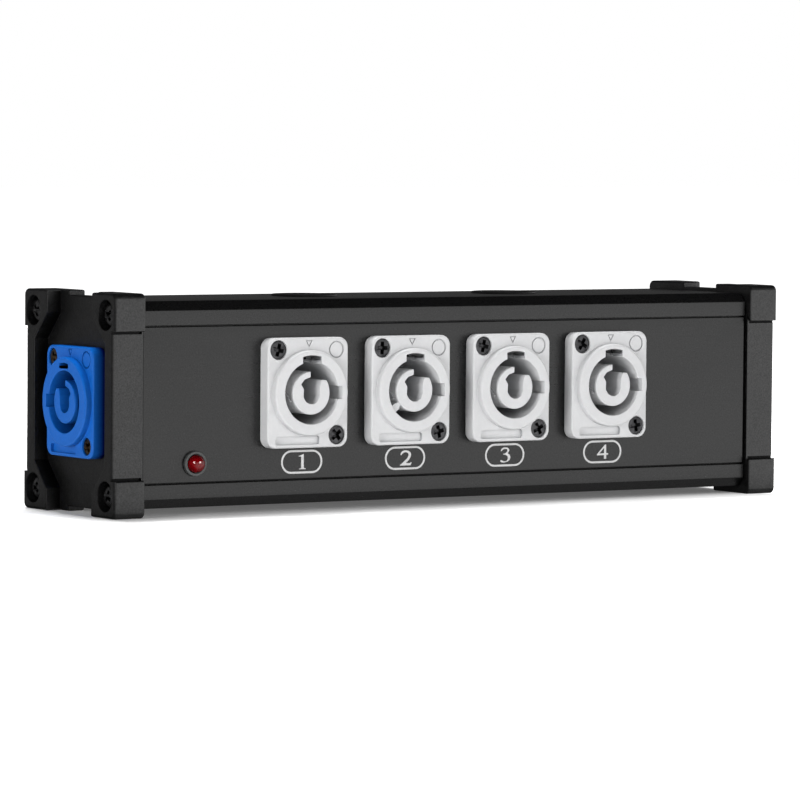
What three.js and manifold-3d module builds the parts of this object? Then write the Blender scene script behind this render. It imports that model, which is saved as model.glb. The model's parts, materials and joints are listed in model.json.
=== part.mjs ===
// Portable power distribution box: an extruded aluminium housing with a slide-in front panel,
// two moulded end caps, one locking power inlet, four locking power outlets and an indicator lamp.
// Millimetres. +X runs along the box, +Y to the back, +Z up. The outlets and the lamp face -Y,
// the inlet faces -X. The origin is the bottom centre of the whole, connectors included.
import * as THREE from "three";
import { mergeVertices } from "three/addons/utils/BufferGeometryUtils.js";
import Module from "manifold-3d";

const wasm = await Module();
wasm.setup();

// ---------------------------------------------------------------- driving dimensions
const BOX_LENGTH = 227; // over the end caps' corner pads
const BOX_DEPTH = 52; // over the corner bumpers
const BOX_HEIGHT = 62; // over the corner bumpers
const MID_Z = BOX_HEIGHT / 2;

// End caps. X and Y here are the cap's own: across the box's depth and up its height.
const CAP_DEPTH = 10.2; // along the box
const CAP_FLOOR = 5.2; // height of the recessed end face above the cap's inner plane
const CAP_RIM_X = 24.55; // half width of the cap between bumpers
const CAP_RIM_Y = 29.55; // half height of the cap between bumpers
const BUMPER_X = BOX_DEPTH / 2;
const BUMPER_Y = BOX_HEIGHT / 2;
const BUMPER_R = 2.0; // outer corner radius
const BUMPER_TALL = 10.5; // bumper length along the height
const PAD_IN = 12.8; // inner edge of the corner pads, from the centre line
const STEP_IN = 8.0; // inner edge of the bumpers' lower step
const STRIP_IN = 20.1; // inner edge of the side strips
const PAD_BREAK_Y = 24.6; // where the pad's straight edge turns into its sloping edge
const STRIP_BREAK_Y = 17.1; // where that edge meets the strip
const PAD_OVERLAP = 0.4; // the raised parts sink this far into the plate
const CAP_SCREW_X = 20.5;
const CAP_SCREW_Y = 24.6;
const COUNTERBORE_R = 4.2;
const COUNTERBORE_FLOOR = 6.3; // above the cap's inner plane
const CAP_HOLE_R = 1.9;
const LIP_LENGTH = 4.0; // the locating lips reach this far into the housing
const LIP_IN = 24.7; // inner and outer faces of the lips, from mid height
const LIP_OUT = 26.5;
const LIP_HALF_WIDTH = 16.2; // also of the relief behind the end face
const RELIEF_HALF_HEIGHT = 23.2;
const RELIEF_DEPTH = 2.2;

const HOUSING_Y = 23.8; // half depth of the housing
const HOUSING_Z = 28.7; // half height of the housing
const CHAMFER = 2.55;
const END_GAP = 0.5; // housing to end cap
const HOUSING_HALF = BOX_LENGTH / 2 - CAP_DEPTH - END_GAP;
const LIP_Z = 22.0; // half opening between the front lips
const PORT_R = 1.6; // screw ports
const WALL = 1.8;

const PANEL_HALF_X = HOUSING_HALF - 0.4;
const PANEL_HALF_Z = 21.65; // visible face
const PANEL_THICK = 2.0;
const TONGUE_HALF_Z = 22.55; // thin rear edges of the panel, behind the front lips
const TONGUE_THICK = 0.8;

const FIRST_OUTLET_X = -51.93;
const OUTLET_PITCH = 34.37;
const OUTLET_X = [0, 1, 2, 3].map((i) => FIRST_OUTLET_X + i * OUTLET_PITCH);
const SOCKET_Z = 33.7; // outlet centre height
const INLET_Z = 31.2;

// Connectors. Heights are along the connector's axis, above its mounting plane.
const FLANGE_W = 26.2;
const FLANGE_H = 30.9;
const FLANGE_T = 4.15; // height of the flange's face
const FLANGE_R = 2.9;
const RING_R = 12.25;
const RING_PROUD = 2.0;
const FACE_Z = FLANGE_T + RING_PROUD; // front face of the ring
const SEAT = 0.1; // flange to panel
const BORE_R = 8.75;
const CORE_R = 6.15;
const CORE_BACK = 0.3; // the core stands this far behind the ring's face
const NOTCH_FLOOR = 2.6;
const BARREL_R = 11.7;
const BARREL_BACK = 17.0;
const BARREL_HOLE_R = BARREL_R + 0.4;
const FLANGE_SCREWS = [
  { place: "upper", x: -9.5, y: 12.0, turn: 0.1 },
  { place: "lower", x: 9.5, y: -12.0, turn: 0.9 },
];
const SUNK_HEAD_R = 2.8;
const CONTACTS = { earth: 90, live: 210, neutral: 330 }; // degrees about the axis
const CONTACT_RADIUS = 7.0;
const TAB_BACK = 25; // rear end of the contacts' tabs, behind the mounting plane

const LAMP_X = -86.4;
const LAMP_Z = 14.6;
const LAMP_R = 2.6;
const LENS_R = LAMP_R - 0.1;
const LAMP_TOP = 3.6; // the dome's highest point above the panel
const LENS_BACK = -4.8;
const BEZEL_R = 3.55;
const BEZEL_NECK_R = 3.0;
const BEZEL_PROUD = 1.05;
const BEZEL_CHAMFER = 0.35;

const PLUG_X = [-34.75, 34.0];
const PLUG_Y = 2.5;
const PLUG_R = 9.5;
const PLUG_HOLE_R = 8.0;
const PLUG_THICK = 0.8;

const EARTH_X = -72; // ring terminal on the rear wall's rib
const TERMINAL_Y = 19.2;
const TERMINAL_THICK = 0.8;
const EARTH_SCREW_Y = 18.7; // seat of the screw's head

const WIRE_R = 1.5;
const BRANCH_R = 1.2;
const LAMP_LEAD = { radius: 0.6, steps: 11, sides: 5 };
const WIRE_START = 2.4; // wires begin this far behind the tabs, inside the sleeves

// ---------------------------------------------------------------- solids
function solid(geometry) {
  const bare = geometry.index ? geometry : geometry.clone();
  bare.deleteAttribute("normal");
  bare.deleteAttribute("uv");
  const merged = mergeVertices(bare, 1e-4);
  return new wasm.Manifold(
    new wasm.Mesh({
      numProp: 3,
      vertProperties: new Float32Array(merged.attributes.position.array),
      triVerts: new Uint32Array(merged.index.array),
    }),
  );
}

function geometryOf(body) {
  const mesh = body.getMesh();
  const stride = mesh.numProp;
  const positions = new Float32Array(mesh.numVert * 3);
  for (let i = 0; i < mesh.numVert; i++)
    positions.set(mesh.vertProperties.subarray(i * stride, i * stride + 3), i * 3);
  const geometry = new THREE.BufferGeometry();
  geometry.setAttribute("position", new THREE.BufferAttribute(positions, 3));
  geometry.setIndex(new THREE.BufferAttribute(new Uint32Array(mesh.triVerts), 1));
  geometry.computeVertexNormals();
  return geometry;
}

const join = (...bodies) => bodies.reduce((a, b) => a.add(b));
const cut = (body, ...tools) => tools.reduce((a, b) => a.subtract(b), body);

const radians = (degrees) => (degrees * Math.PI) / 180;
const shapeOf = (points) => new THREE.Shape(points.map((p) => new THREE.Vector2(...p)));

// Mirror images of an outline, in reversed order so that the halves chain up.
const flipX = (points) => points.map(([x, y]) => [-x, y]).reverse();
const flipY = (points) => points.map(([x, y]) => [x, -y]).reverse();

// A prism over the outline, from z0 to z1.
function prism(points, z0, z1) {
  const geometry = new THREE.ExtrudeGeometry(shapeOf(points), {
    depth: z1 - z0,
    bevelEnabled: false,
    steps: 1,
  });
  return solid(geometry.translate(0, 0, z0));
}

// Points on an arc, angles in degrees.
const arc = (centreX, centreY, radius, from, to, steps) =>
  Array.from({ length: steps + 1 }, (_, i) => {
    const angle = radians(from + ((to - from) * i) / steps);
    return [centreX + radius * Math.cos(angle), centreY + radius * Math.sin(angle)];
  });

function roundedRect(width, height, radius, steps = 3) {
  const x = width / 2 - radius;
  const y = height / 2 - radius;
  return [
    ...arc(x, y, radius, 0, 90, steps),
    ...arc(-x, y, radius, 90, 180, steps),
    ...arc(-x, -y, radius, 180, 270, steps),
    ...arc(x, -y, radius, 270, 360, steps),
  ];
}

function box(x0, x1, y0, y1, z0, z1) {
  const geometry = new THREE.BoxGeometry(x1 - x0, y1 - y0, z1 - z0);
  return solid(geometry.translate((x0 + x1) / 2, (y0 + y1) / 2, (z0 + z1) / 2));
}

// A turned solid about local +Z: the profile lists [radius, z], starting and ending on the axis.
function turned(profile, segments, x = 0, y = 0) {
  const points = profile.map((p) => new THREE.Vector2(...p));
  const geometry = new THREE.LatheGeometry(points, segments);
  return solid(geometry.rotateX(Math.PI / 2).translate(x, y, 0));
}
const rod = (radius, z0, z1, segments, x = 0, y = 0) =>
  turned([[0, z0], [radius, z0], [radius, z1], [0, z1]], segments, x, y);

// Cylinders about the local Y and X axes, placed by their centres.
const pinY = (radius, length, segments, centre) =>
  solid(new THREE.CylinderGeometry(radius, radius, length, segments).translate(...centre));
const pinX = (radius, length, segments, centre) =>
  solid(
    new THREE.CylinderGeometry(radius, radius, length, segments)
      .rotateZ(Math.PI / 2)
      .translate(...centre),
  );

// A round tube swept along smooth points.
function wireRun(points, { radius, steps, sides = 6 }) {
  const path = new THREE.CatmullRomCurve3(
    points.map((p) => new THREE.Vector3(...p)),
    false,
    "centripetal",
  );
  const ring = shapeOf(arc(0, 0, radius, 0, 360, sides).slice(0, sides));
  return solid(
    new THREE.ExtrudeGeometry(ring, { extrudePath: path, steps, bevelEnabled: false }),
  );
}

// ---------------------------------------------------------------- materials
const material = (settings) => new THREE.MeshStandardMaterial(settings);
const MATERIALS = {
  housing: material({ color: 0x2c2c2e, roughness: 0.6, metalness: 0.35 }),
  panel: material({ color: 0x2d2d2f, roughness: 0.62, metalness: 0.35 }),
  cap: material({ color: 0x222223, roughness: 0.8, metalness: 0 }),
  blue: material({ color: 0x1250b4, roughness: 0.45, metalness: 0 }),
  white: material({ color: 0xdadbdc, roughness: 0.45, metalness: 0 }),
  darkScrew: material({ color: 0x17171a, roughness: 0.35, metalness: 0.9 }),
  nickel: material({ color: 0x9a8f7c, roughness: 0.35, metalness: 1 }),
  brass: material({ color: 0xb99a52, roughness: 0.35, metalness: 1 }),
  lamp: material({ color: 0x8a0008, roughness: 0.15, metalness: 0 }),
  bezel: material({ color: 0x4c4c50, roughness: 0.35, metalness: 0.6 }),
  rubber: material({ color: 0x161616, roughness: 0.85, metalness: 0 }),
  brownWire: material({ color: 0x5a3016, roughness: 0.5, metalness: 0 }),
  blueWire: material({ color: 0x2050a8, roughness: 0.5, metalness: 0 }),
  greenWire: material({ color: 0x2f8a2c, roughness: 0.5, metalness: 0 }),
};

// ---------------------------------------------------------------- frames
const root = new THREE.Group();

function put(parent, name, body, surface) {
  const mesh = new THREE.Mesh(geometryOf(body), surface);
  mesh.name = name;
  parent.add(mesh);
  return mesh;
}

// Box directions of a frame's local x, y and z; local z points the way the name says.
const FACING_LEFT = [[0, -1, 0], [0, 0, 1], [-1, 0, 0]];
const FACING_RIGHT = [[0, 1, 0], [0, 0, 1], [1, 0, 0]];
const FACING_FRONT = [[1, 0, 0], [0, 0, 1], [0, -1, 0]];
const FACING_UP = [[1, 0, 0], [0, 1, 0], [0, 0, 1]];

function framed(origin, axes) {
  const group = new THREE.Group();
  const basis = new THREE.Matrix4().makeBasis(...axes.map((axis) => new THREE.Vector3(...axis)));
  group.position.set(...origin);
  group.quaternion.setFromRotationMatrix(basis);
  root.add(group);
  return group;
}

// ---------------------------------------------------------------- housing and front panel
// Local x is the box's Y, local y is height about mid height, local z runs along the box.
function housingOutline() {
  const innerZ = HOUSING_Z - WALL;
  const innerY = HOUSING_Y - WALL;
  // Points are [box Y, height]. Upper front: the lip, the panel's groove and the screw port's boss.
  const upperFront = [
    [-HOUSING_Y, HOUSING_Z - CHAMFER], [-HOUSING_Y, LIP_Z], [-22.9, LIP_Z], [-22.9, 22.85],
    [-21.5, 22.85], [-21.5, 20.8], [-20.3, 20.8], [-20.3, 21.9],
    [-18.4, 22.6], [-17.6, 24.0], [-17.6, innerZ],
  ];
  const upperRear = [[17.6, innerZ], [17.6, 24.0], [18.4, 22.6], [innerY, 21.9]];
  const rib = [[innerY, 3.6], [19.8, 3.0], [19.8, -3.0], [innerY, -3.6]];
  return [
    [-HOUSING_Y + CHAMFER, HOUSING_Z],
    ...upperFront,
    ...upperRear,
    ...rib,
    ...flipY(upperRear),
    ...flipY(upperFront),
    [-HOUSING_Y + CHAMFER, -HOUSING_Z],
    [HOUSING_Y - CHAMFER, -HOUSING_Z],
    [HOUSING_Y, -HOUSING_Z + CHAMFER],
    [HOUSING_Y, HOUSING_Z - CHAMFER],
    [HOUSING_Y - CHAMFER, HOUSING_Z],
  ];
}

const CORNERS = [[-1, -1], [-1, 1], [1, -1], [1, 1]];

function extrusionBody() {
  const end = HOUSING_HALF + 1;
  return cut(
    prism(housingOutline(), -HOUSING_HALF, HOUSING_HALF),
    ...CORNERS.map(([sideX, sideY]) =>
      rod(PORT_R, -end, end, 14, sideX * CAP_SCREW_X, sideY * CAP_SCREW_Y),
    ),
    // round holes in the top wall for the blanking plugs
    ...PLUG_X.map((x) => pinY(PLUG_HOLE_R, 6, 28, [PLUG_Y, HOUSING_Z, x])),
    // blind hole for the earthing screw in the rear wall's rib
    pinX(1.3, 4, 14, [20.8, 0, EARTH_X]),
  );
}

function frontPanel() {
  const front = -HOUSING_Y;
  const back = front + PANEL_THICK;
  const tongueFront = back - TONGUE_THICK;
  const upperEdge = [
    [back, TONGUE_HALF_Z],
    [tongueFront, TONGUE_HALF_Z],
    [tongueFront, PANEL_HALF_Z],
    [front, PANEL_HALF_Z],
  ];
  const hole = (radius, segments, x, z) => pinX(radius, 8, segments, [front, z - MID_Z, x]);
  return cut(
    prism([...flipY(upperEdge), ...upperEdge], -PANEL_HALF_X, PANEL_HALF_X),
    ...OUTLET_X.flatMap((x) => [
      hole(BARREL_HOLE_R, 24, x, SOCKET_Z),
      ...FLANGE_SCREWS.map((screw) => hole(1.55, 8, x + screw.x, SOCKET_Z + screw.y)),
    ]),
    hole(3.2, 18, LAMP_X, LAMP_Z),
  );
}

// ---------------------------------------------------------------- end caps
// Local +z points out of the box's end; local y is height about mid height.
function capBody() {
  // square lower end and rounded corner of a bumper, shared by both levels
  const bumper = [
    [CAP_RIM_X, BUMPER_Y - BUMPER_TALL],
    [BUMPER_X, BUMPER_Y - BUMPER_TALL],
    ...arc(BUMPER_X - BUMPER_R, BUMPER_Y - BUMPER_R, BUMPER_R, 0, 90, 3),
  ];
  // plate with the bumpers' lower step
  const quarter = [...bumper, [STEP_IN, BUMPER_Y], [STEP_IN, CAP_RIM_Y]];
  const plateHalf = [...flipY(quarter), [CAP_RIM_X, 0], ...quarter];
  // raised side: strip, sloping shoulders and corner pads
  const side = [
    ...bumper,
    [PAD_IN, BUMPER_Y],
    [PAD_IN, PAD_BREAK_Y],
    [STRIP_IN, STRIP_BREAK_Y],
  ];
  const raised = [...side, ...flipY(side)];
  const width = LIP_HALF_WIDTH;
  const solidCap = join(
    prism([...plateHalf, ...flipX(plateHalf)], 0, CAP_FLOOR),
    prism(raised, CAP_FLOOR - PAD_OVERLAP, CAP_DEPTH),
    prism(flipX(raised), CAP_FLOOR - PAD_OVERLAP, CAP_DEPTH),
    // locating lips inside the housing's top and bottom walls
    box(-width, width, LIP_IN, LIP_OUT, -LIP_LENGTH, 0.4),
    box(-width, width, -LIP_OUT, -LIP_IN, -LIP_LENGTH, 0.4),
  );
  const screwHole = [
    [0, -1], [CAP_HOLE_R, -1], [CAP_HOLE_R, COUNTERBORE_FLOOR],
    [COUNTERBORE_R, COUNTERBORE_FLOOR], [COUNTERBORE_R, CAP_DEPTH + 1], [0, CAP_DEPTH + 1],
  ];
  return cut(
    solidCap,
    // relief behind the end face
    box(-width, width, -RELIEF_HALF_HEIGHT, RELIEF_HALF_HEIGHT, -1, RELIEF_DEPTH),
    ...CORNERS.map(([sideX, sideY]) =>
      turned(screwHole, 18, sideX * CAP_SCREW_X, sideY * CAP_SCREW_Y),
    ),
  );
}

// The left cap also takes the inlet's barrel and flange screws.
function leftCapBody() {
  const inletY = INLET_Z - MID_Z;
  return cut(
    capBody(),
    rod(BARREL_HOLE_R, -1, CAP_DEPTH + 1, 24, 0, inletY),
    ...FLANGE_SCREWS.map(({ x, y }) => rod(1.5, -1, CAP_DEPTH + 1, 8, x, inletY + y)),
  );
}

// ---------------------------------------------------------------- screws
// Profiles are [radius, z], with the head's outer face towards +z.
const crossRecess = ({ size, width, z0, z1 }) =>
  join(
    box(-size / 2, size / 2, -width / 2, width / 2, z0, z1),
    box(-width / 2, width / 2, -size / 2, size / 2, z0, z1),
  );

// Pan head self-tapping screw, head seat at z = 0.
function panScrew() {
  const profile = [
    [0, -18], [0.5, -18], [1.4, -15.5], [1.4, 0],
    [3.75, 0], [3.75, 1.5], [2.7, 2.6], [0, 2.6],
  ];
  return cut(turned(profile, 12), crossRecess({ size: 3.8, width: 0.95, z0: 1.3, z1: 3.2 }));
}

// Countersunk screw, top of the head at z = 0.
function sunkScrew() {
  const profile = [[0, -11], [1.2, -11], [1.2, -1.55], [2.55, -0.25], [2.55, 0], [0, 0]];
  return cut(turned(profile, 12), crossRecess({ size: 3.0, width: 0.75, z0: -1.0, z1: 1 }));
}

// Earthing screw, head seat at z = 0.
function earthScrew() {
  const profile = [
    [0, -3.3], [1.1, -3.3], [1.1, 0], [2.7, 0], [2.7, 1.5], [1.8, 1.9], [0, 1.9],
  ];
  return cut(turned(profile, 14), crossRecess({ size: 3.0, width: 0.8, z0: 0.9, z1: 3 }));
}

// frontSide is the sign of local x towards the front of the box.
function putCapScrews(end, side, frontSide) {
  for (const [sideX, sideY] of CORNERS) {
    const depth = sideX === frontSide ? "front" : "rear";
    const level = sideY > 0 ? "top" : "bottom";
    const name = `cap_screw_${side}_${depth}_${level}`;
    const mesh = put(end, name, panScrew(), MATERIALS.darkScrew);
    mesh.position.set(sideX * CAP_SCREW_X, sideY * CAP_SCREW_Y, COUNTERBORE_FLOOR + 0.1);
    mesh.rotation.z = 0.35 + 0.9 * sideX + 0.5 * sideY; // each cross stands at its own angle
  }
}

// ---------------------------------------------------------------- locking power connectors
// Local +z points out of the mounting face, local y is up.
// handed is +1 with the keyway towards local +x and -1 with it towards -x.

// A box between two distances from the axis, on the +x or -x side, centred on y = 0.
function sideBox(side, inner, outer, halfWidth, z0, z1) {
  const [x0, x1] = side > 0 ? [inner, outer] : [-outer, -inner];
  return box(x0, x1, -halfWidth, halfWidth, z0, z1);
}

// A box across the contact circle, as it stands at 0 degrees.
const contactBox = (halfThick, halfWidth, z0, z1) =>
  sideBox(1, CONTACT_RADIUS - halfThick, CONTACT_RADIUS + halfThick, halfWidth, z0, z1);
const turnedTo = (body, angle) => geometryOf(body).rotateZ(radians(angle));

function connectorHousing(handed) {
  const flangeHole = [
    [0, -1], [1.6, -1], [1.6, FLANGE_T - 1.75],
    [SUNK_HEAD_R, FLANGE_T - 0.35], [SUNK_HEAD_R, FLANGE_T + 1], [0, FLANGE_T + 1],
  ];
  return cut(
    join(
      prism(roundedRect(FLANGE_W, FLANGE_H, FLANGE_R), SEAT, FLANGE_T),
      rod(RING_R, SEAT, FACE_Z, 32),
      rod(BARREL_R, -BARREL_BACK, FLANGE_T - 0.5, 24),
    ),
    rod(BORE_R, -BARREL_BACK - 1, FACE_Z + 1, 28),
    box(-3, 3, 7, 10.3, FACE_Z - 1, FACE_Z + 1), // latch notch
    box(-2.9, 2.9, 9.2, 10.3, NOTCH_FLOOR, FACE_Z), // the pocket behind it
    box(2.8, 4.8, 9.1, 10.2, NOTCH_FLOOR, FACE_Z - 0.6), // undercut that catches the plug's latch
    sideBox(handed, 7, 10, 1.9, -12, FACE_Z + 1), // keyway
    ...FLANGE_SCREWS.map(({ x, y }) => turned(flangeHole, 12, x, y)),
  );
}

// Contact carrier: the disc that closes the barrel and the C-shaped core that stands on it.
function carrier(handed) {
  // the core's inner edge, [x, y] for handed = +1
  const inner = [
    [3.3, 3.6], [2.75, 1.6], [2.65, -0.8], [2.05, -2.3], [0.9, -3.1], [-0.5, -3.1],
    [-1.7, -2.4], [-2.35, -1.2], [-2.2, 1.1], [-3.2, 2.5], [-2.3, 3.8], [-0.32, 4.45],
  ];
  const core = [...arc(0, 0, CORE_R, 93, 396, 20), ...inner];
  return cut(
    join(
      rod(BORE_R - 0.3, -BARREL_BACK, -13.2, 20),
      prism(handed < 0 ? flipX(core) : core, -13.6, FACE_Z - CORE_BACK),
    ),
    // contact slots
    ...Object.values(CONTACTS).map((angle) =>
      solid(turnedTo(contactBox(0.75, 2.35, -19, -11), angle)),
    ),
    // window in the core's side behind the mouth, opposite the keyway
    sideBox(-handed, 5.45, 6.6, 2.1, -11, FACE_Z - 1.3),
  );
}

// Blade contact with its rear tab.
function contact(angle) {
  const blade = contactBox(0.4, 2, -18, -8.5);
  const tab = contactBox(0.4, 3.1, -TAB_BACK, -17.6);
  return solid(turnedTo(join(blade, tab), angle));
}

function putConnector(frame, prefix, handed, shell, screwMaterial) {
  put(frame, `${prefix}_housing`, connectorHousing(handed), shell);
  put(frame, `${prefix}_contact_carrier`, carrier(handed), shell);
  for (const [name, angle] of Object.entries(CONTACTS))
    put(frame, `${prefix}_contact_${name}`, contact(angle), MATERIALS.brass);
  for (const { place, x, y, turn } of FLANGE_SCREWS) {
    const mesh = put(frame, `${prefix}_flange_screw_${place}`, sunkScrew(), screwMaterial);
    mesh.position.set(x, y, FLANGE_T - 0.12);
    mesh.rotation.z = turn;
  }
}

// ---------------------------------------------------------------- indicator lamp
function lampBezel() {
  const profile = [
    [0, -7], [BEZEL_NECK_R, -7], [BEZEL_NECK_R, 0.1], [BEZEL_R, 0.1],
    [BEZEL_R, BEZEL_PROUD - BEZEL_CHAMFER], [BEZEL_R - BEZEL_CHAMFER, BEZEL_PROUD],
    [0, BEZEL_PROUD],
  ];
  return cut(turned(profile, 20), rod(LAMP_R + 0.1, -5, 3, 18), rod(1.8, -8, 0, 10));
}

function lampLens() {
  const domeZ = LAMP_TOP - LENS_R;
  const dome = arc(0, domeZ, LENS_R, 22, 90, 3).slice(0, -1);
  return turned(
    [[0, LENS_BACK], [LENS_R, LENS_BACK], [LENS_R, domeZ], ...dome, [0, LAMP_TOP]],
    16,
  );
}

// ---------------------------------------------------------------- blanking plug
function blankingPlug() {
  const neck = PLUG_HOLE_R - 0.4;
  const profile = [
    [0, -5], [neck, -5], [neck, 0.05], [PLUG_R, 0.05],
    [PLUG_R, 0.3], [PLUG_R - 0.6, PLUG_THICK], [0, PLUG_THICK],
  ];
  return cut(turned(profile, 28), rod(PLUG_HOLE_R - 1.6, -6, -0.9, 14));
}

// ---------------------------------------------------------------- internal wiring
const INLET_X = -BOX_LENGTH / 2 + CAP_DEPTH - CAP_FLOOR; // the inlet's mounting plane
const TAB_X = INLET_X + TAB_BACK; // rear end of the inlet's tabs
const TAB_Y = -HOUSING_Y + TAB_BACK; // rear end of the outlets' tabs

// Each run lies at y, z along the box from joinX on; via lists [x, y, z] on the way there.
const RUNS = {
  earth: { y: 15.5, z: SOCKET_Z + 10.5, joinX: -62, via: [[-70, 7, 42.5]] },
  live: { y: 18.0, z: SOCKET_Z - 6.5, joinX: -62, via: [[-71, 12, 27.2]] },
  neutral: { y: 13.0, z: SOCKET_Z - 14.0, joinX: -58, via: [[-73, -3, 25], [-66, 6, 20.5]] },
};

// Crimp sleeve in a connector's frame, closed at the back and open towards the tab,
// then carried into the root's frame.
function sleeve(angle, frame) {
  const body = cut(contactBox(1.3, 3.9, -28, -19.5), contactBox(0.7, 3.4, -25.4, -18));
  frame.updateMatrix();
  return solid(turnedTo(body, angle).applyMatrix4(frame.matrix));
}

// One conductor in one piece: a lead from the inlet, a run along the box with a branch to
// each outlet, and a crimp sleeve on every tab.
function harness(name, inletFrame, outletFrames) {
  const run = RUNS[name];
  const angle = CONTACTS[name];
  const across = CONTACT_RADIUS * Math.cos(radians(angle));
  const up = CONTACT_RADIUS * Math.sin(radians(angle));
  // the inlet's local x points to the front of the box
  const startX = TAB_X + WIRE_START;
  const trunk = wireRun(
    [
      [startX, -across, INLET_Z + up],
      [startX + 4, -across, INLET_Z + up],
      ...run.via,
      ...[run.joinX, -46, 0, OUTLET_X.at(-1) + across].map((x) => [x, run.y, run.z]),
    ],
    { radius: WIRE_R, steps: 22 },
  );
  const tabZ = SOCKET_Z + up;
  const bendY = TAB_Y + 5;
  const branches = OUTLET_X.flatMap((outletX, i) => {
    const x = outletX + across;
    return [
      sleeve(angle, outletFrames[i]),
      wireRun(
        [
          [x, TAB_Y + WIRE_START, tabZ],
          [x, bendY, tabZ],
          [x, (bendY + run.y) / 2, (tabZ + run.z) / 2],
          [x, run.y + 0.2, run.z],
        ],
        { radius: WIRE_R - 0.1, steps: 3 },
      ),
    ];
  });
  return join(trunk, sleeve(angle, inletFrame), ...branches);
}

// The earth conductor also has a branch to a ring terminal on the housing's rib.
function earthWire(inletFrame, outletFrames) {
  const { y, z } = RUNS.earth;
  const centre = [EARTH_X, TERMINAL_Y, MID_Z];
  const half = TERMINAL_THICK / 2;
  const branch = [[-62.5, y, z], [-66, 17.3, 43], [-70.5, 18.3, 41], [EARTH_X, 18.4, 36.6]];
  return cut(
    join(
      harness("earth", inletFrame, outletFrames),
      wireRun(branch, { radius: BRANCH_R, steps: 6 }),
      pinY(3.2, TERMINAL_THICK, 18, centre),
      // the terminal's tail
      box(EARTH_X - 1.4, EARTH_X + 1.4, TERMINAL_Y - half, TERMINAL_Y + half, 33.4, 39),
    ),
    pinY(1.7, 3, 14, centre),
  );
}

// The lamp's leads run back from the lens; offset is along X from the lamp's axis.
function lampLead(offset, points) {
  const x = LAMP_X + offset;
  const [first, ...rest] = points;
  return wireRun([[x, -18.4, LAMP_Z], [x, ...first], ...rest], LAMP_LEAD);
}
const belowRun = (x, { y, z }) => [x, y, z - 2.6];

// ---------------------------------------------------------------- assembly
const along = framed([0, 0, MID_Z], FACING_RIGHT);
put(along, "extrusion_body", extrusionBody(), MATERIALS.housing);
put(along, "front_panel", frontPanel(), MATERIALS.panel);

const capX = BOX_LENGTH / 2 - CAP_DEPTH; // inner plane of the caps
const leftEnd = framed([-capX, 0, MID_Z], FACING_LEFT);
const rightEnd = framed([capX, 0, MID_Z], FACING_RIGHT);
put(leftEnd, "end_cap_left", leftCapBody(), MATERIALS.cap);
put(rightEnd, "end_cap_right", capBody(), MATERIALS.cap);
putCapScrews(leftEnd, "left", 1);
putCapScrews(rightEnd, "right", -1);

const inlet = framed([INLET_X, 0, INLET_Z], FACING_LEFT);
putConnector(inlet, "inlet", -1, MATERIALS.blue, MATERIALS.nickel);
const outlets = OUTLET_X.map((x) => framed([x, -HOUSING_Y, SOCKET_Z], FACING_FRONT));
outlets.forEach((frame, i) =>
  putConnector(frame, `outlet_${i + 1}`, 1, MATERIALS.white, MATERIALS.darkScrew),
);

const lamp = framed([LAMP_X, -HOUSING_Y, LAMP_Z], FACING_FRONT);
put(lamp, "indicator_bezel", lampBezel(), MATERIALS.bezel);
put(lamp, "indicator_lens", lampLens(), MATERIALS.lamp);

PLUG_X.forEach((x, i) => {
  const frame = framed([x, PLUG_Y, MID_Z + HOUSING_Z], FACING_UP);
  put(frame, `top_plug_${i + 1}`, blankingPlug(), MATERIALS.rubber);
});

const screwFrame = framed([EARTH_X, EARTH_SCREW_Y, MID_Z], FACING_FRONT);
put(screwFrame, "earth_screw", earthScrew(), MATERIALS.nickel);
put(root, "earth_wire", earthWire(inlet, outlets), MATERIALS.greenWire);
put(root, "live_wire", harness("live", inlet, outlets), MATERIALS.brownWire);
put(root, "neutral_wire", harness("neutral", inlet, outlets), MATERIALS.blueWire);

const liveLead = lampLead(-1.0, [
  [-10, LAMP_Z], // y and z only, straight behind the lamp
  [-82, 4, 16],
  [-68, 13.5, 20],
  belowRun(-60, RUNS.live),
]);
const neutralLead = lampLead(1.0, [
  [-10, LAMP_Z - 1], // y and z only
  [-80, -3, 11.5],
  [-66, 6, 12],
  belowRun(-52, RUNS.neutral),
]);
put(root, "indicator_lead_live", liveLead, MATERIALS.brownWire);
put(root, "indicator_lead_neutral", neutralLead, MATERIALS.blueWire);

// Centre the whole on the origin: the inlet overhangs the left end, the outlets the front.
root.position.set(
  (FACE_Z - (CAP_DEPTH - CAP_FLOOR)) / 2,
  (HOUSING_Y + FACE_Z - BOX_DEPTH / 2) / 2,
  0,
);
const part = new THREE.Group();
part.add(root);

export default part;
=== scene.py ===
"""A long black box with four white sockets on its front and a blue one on its left end.

X runs along the box from left to right, -Y is the front, +Z is up, and the floor lies at z = 0.
Pieces are built in local millimetres and then placed, in metres, in the frame of the CAD model.
"""
import json
import math
from contextlib import contextmanager

import bpy
import bmesh
from mathutils import Matrix, Vector


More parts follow.
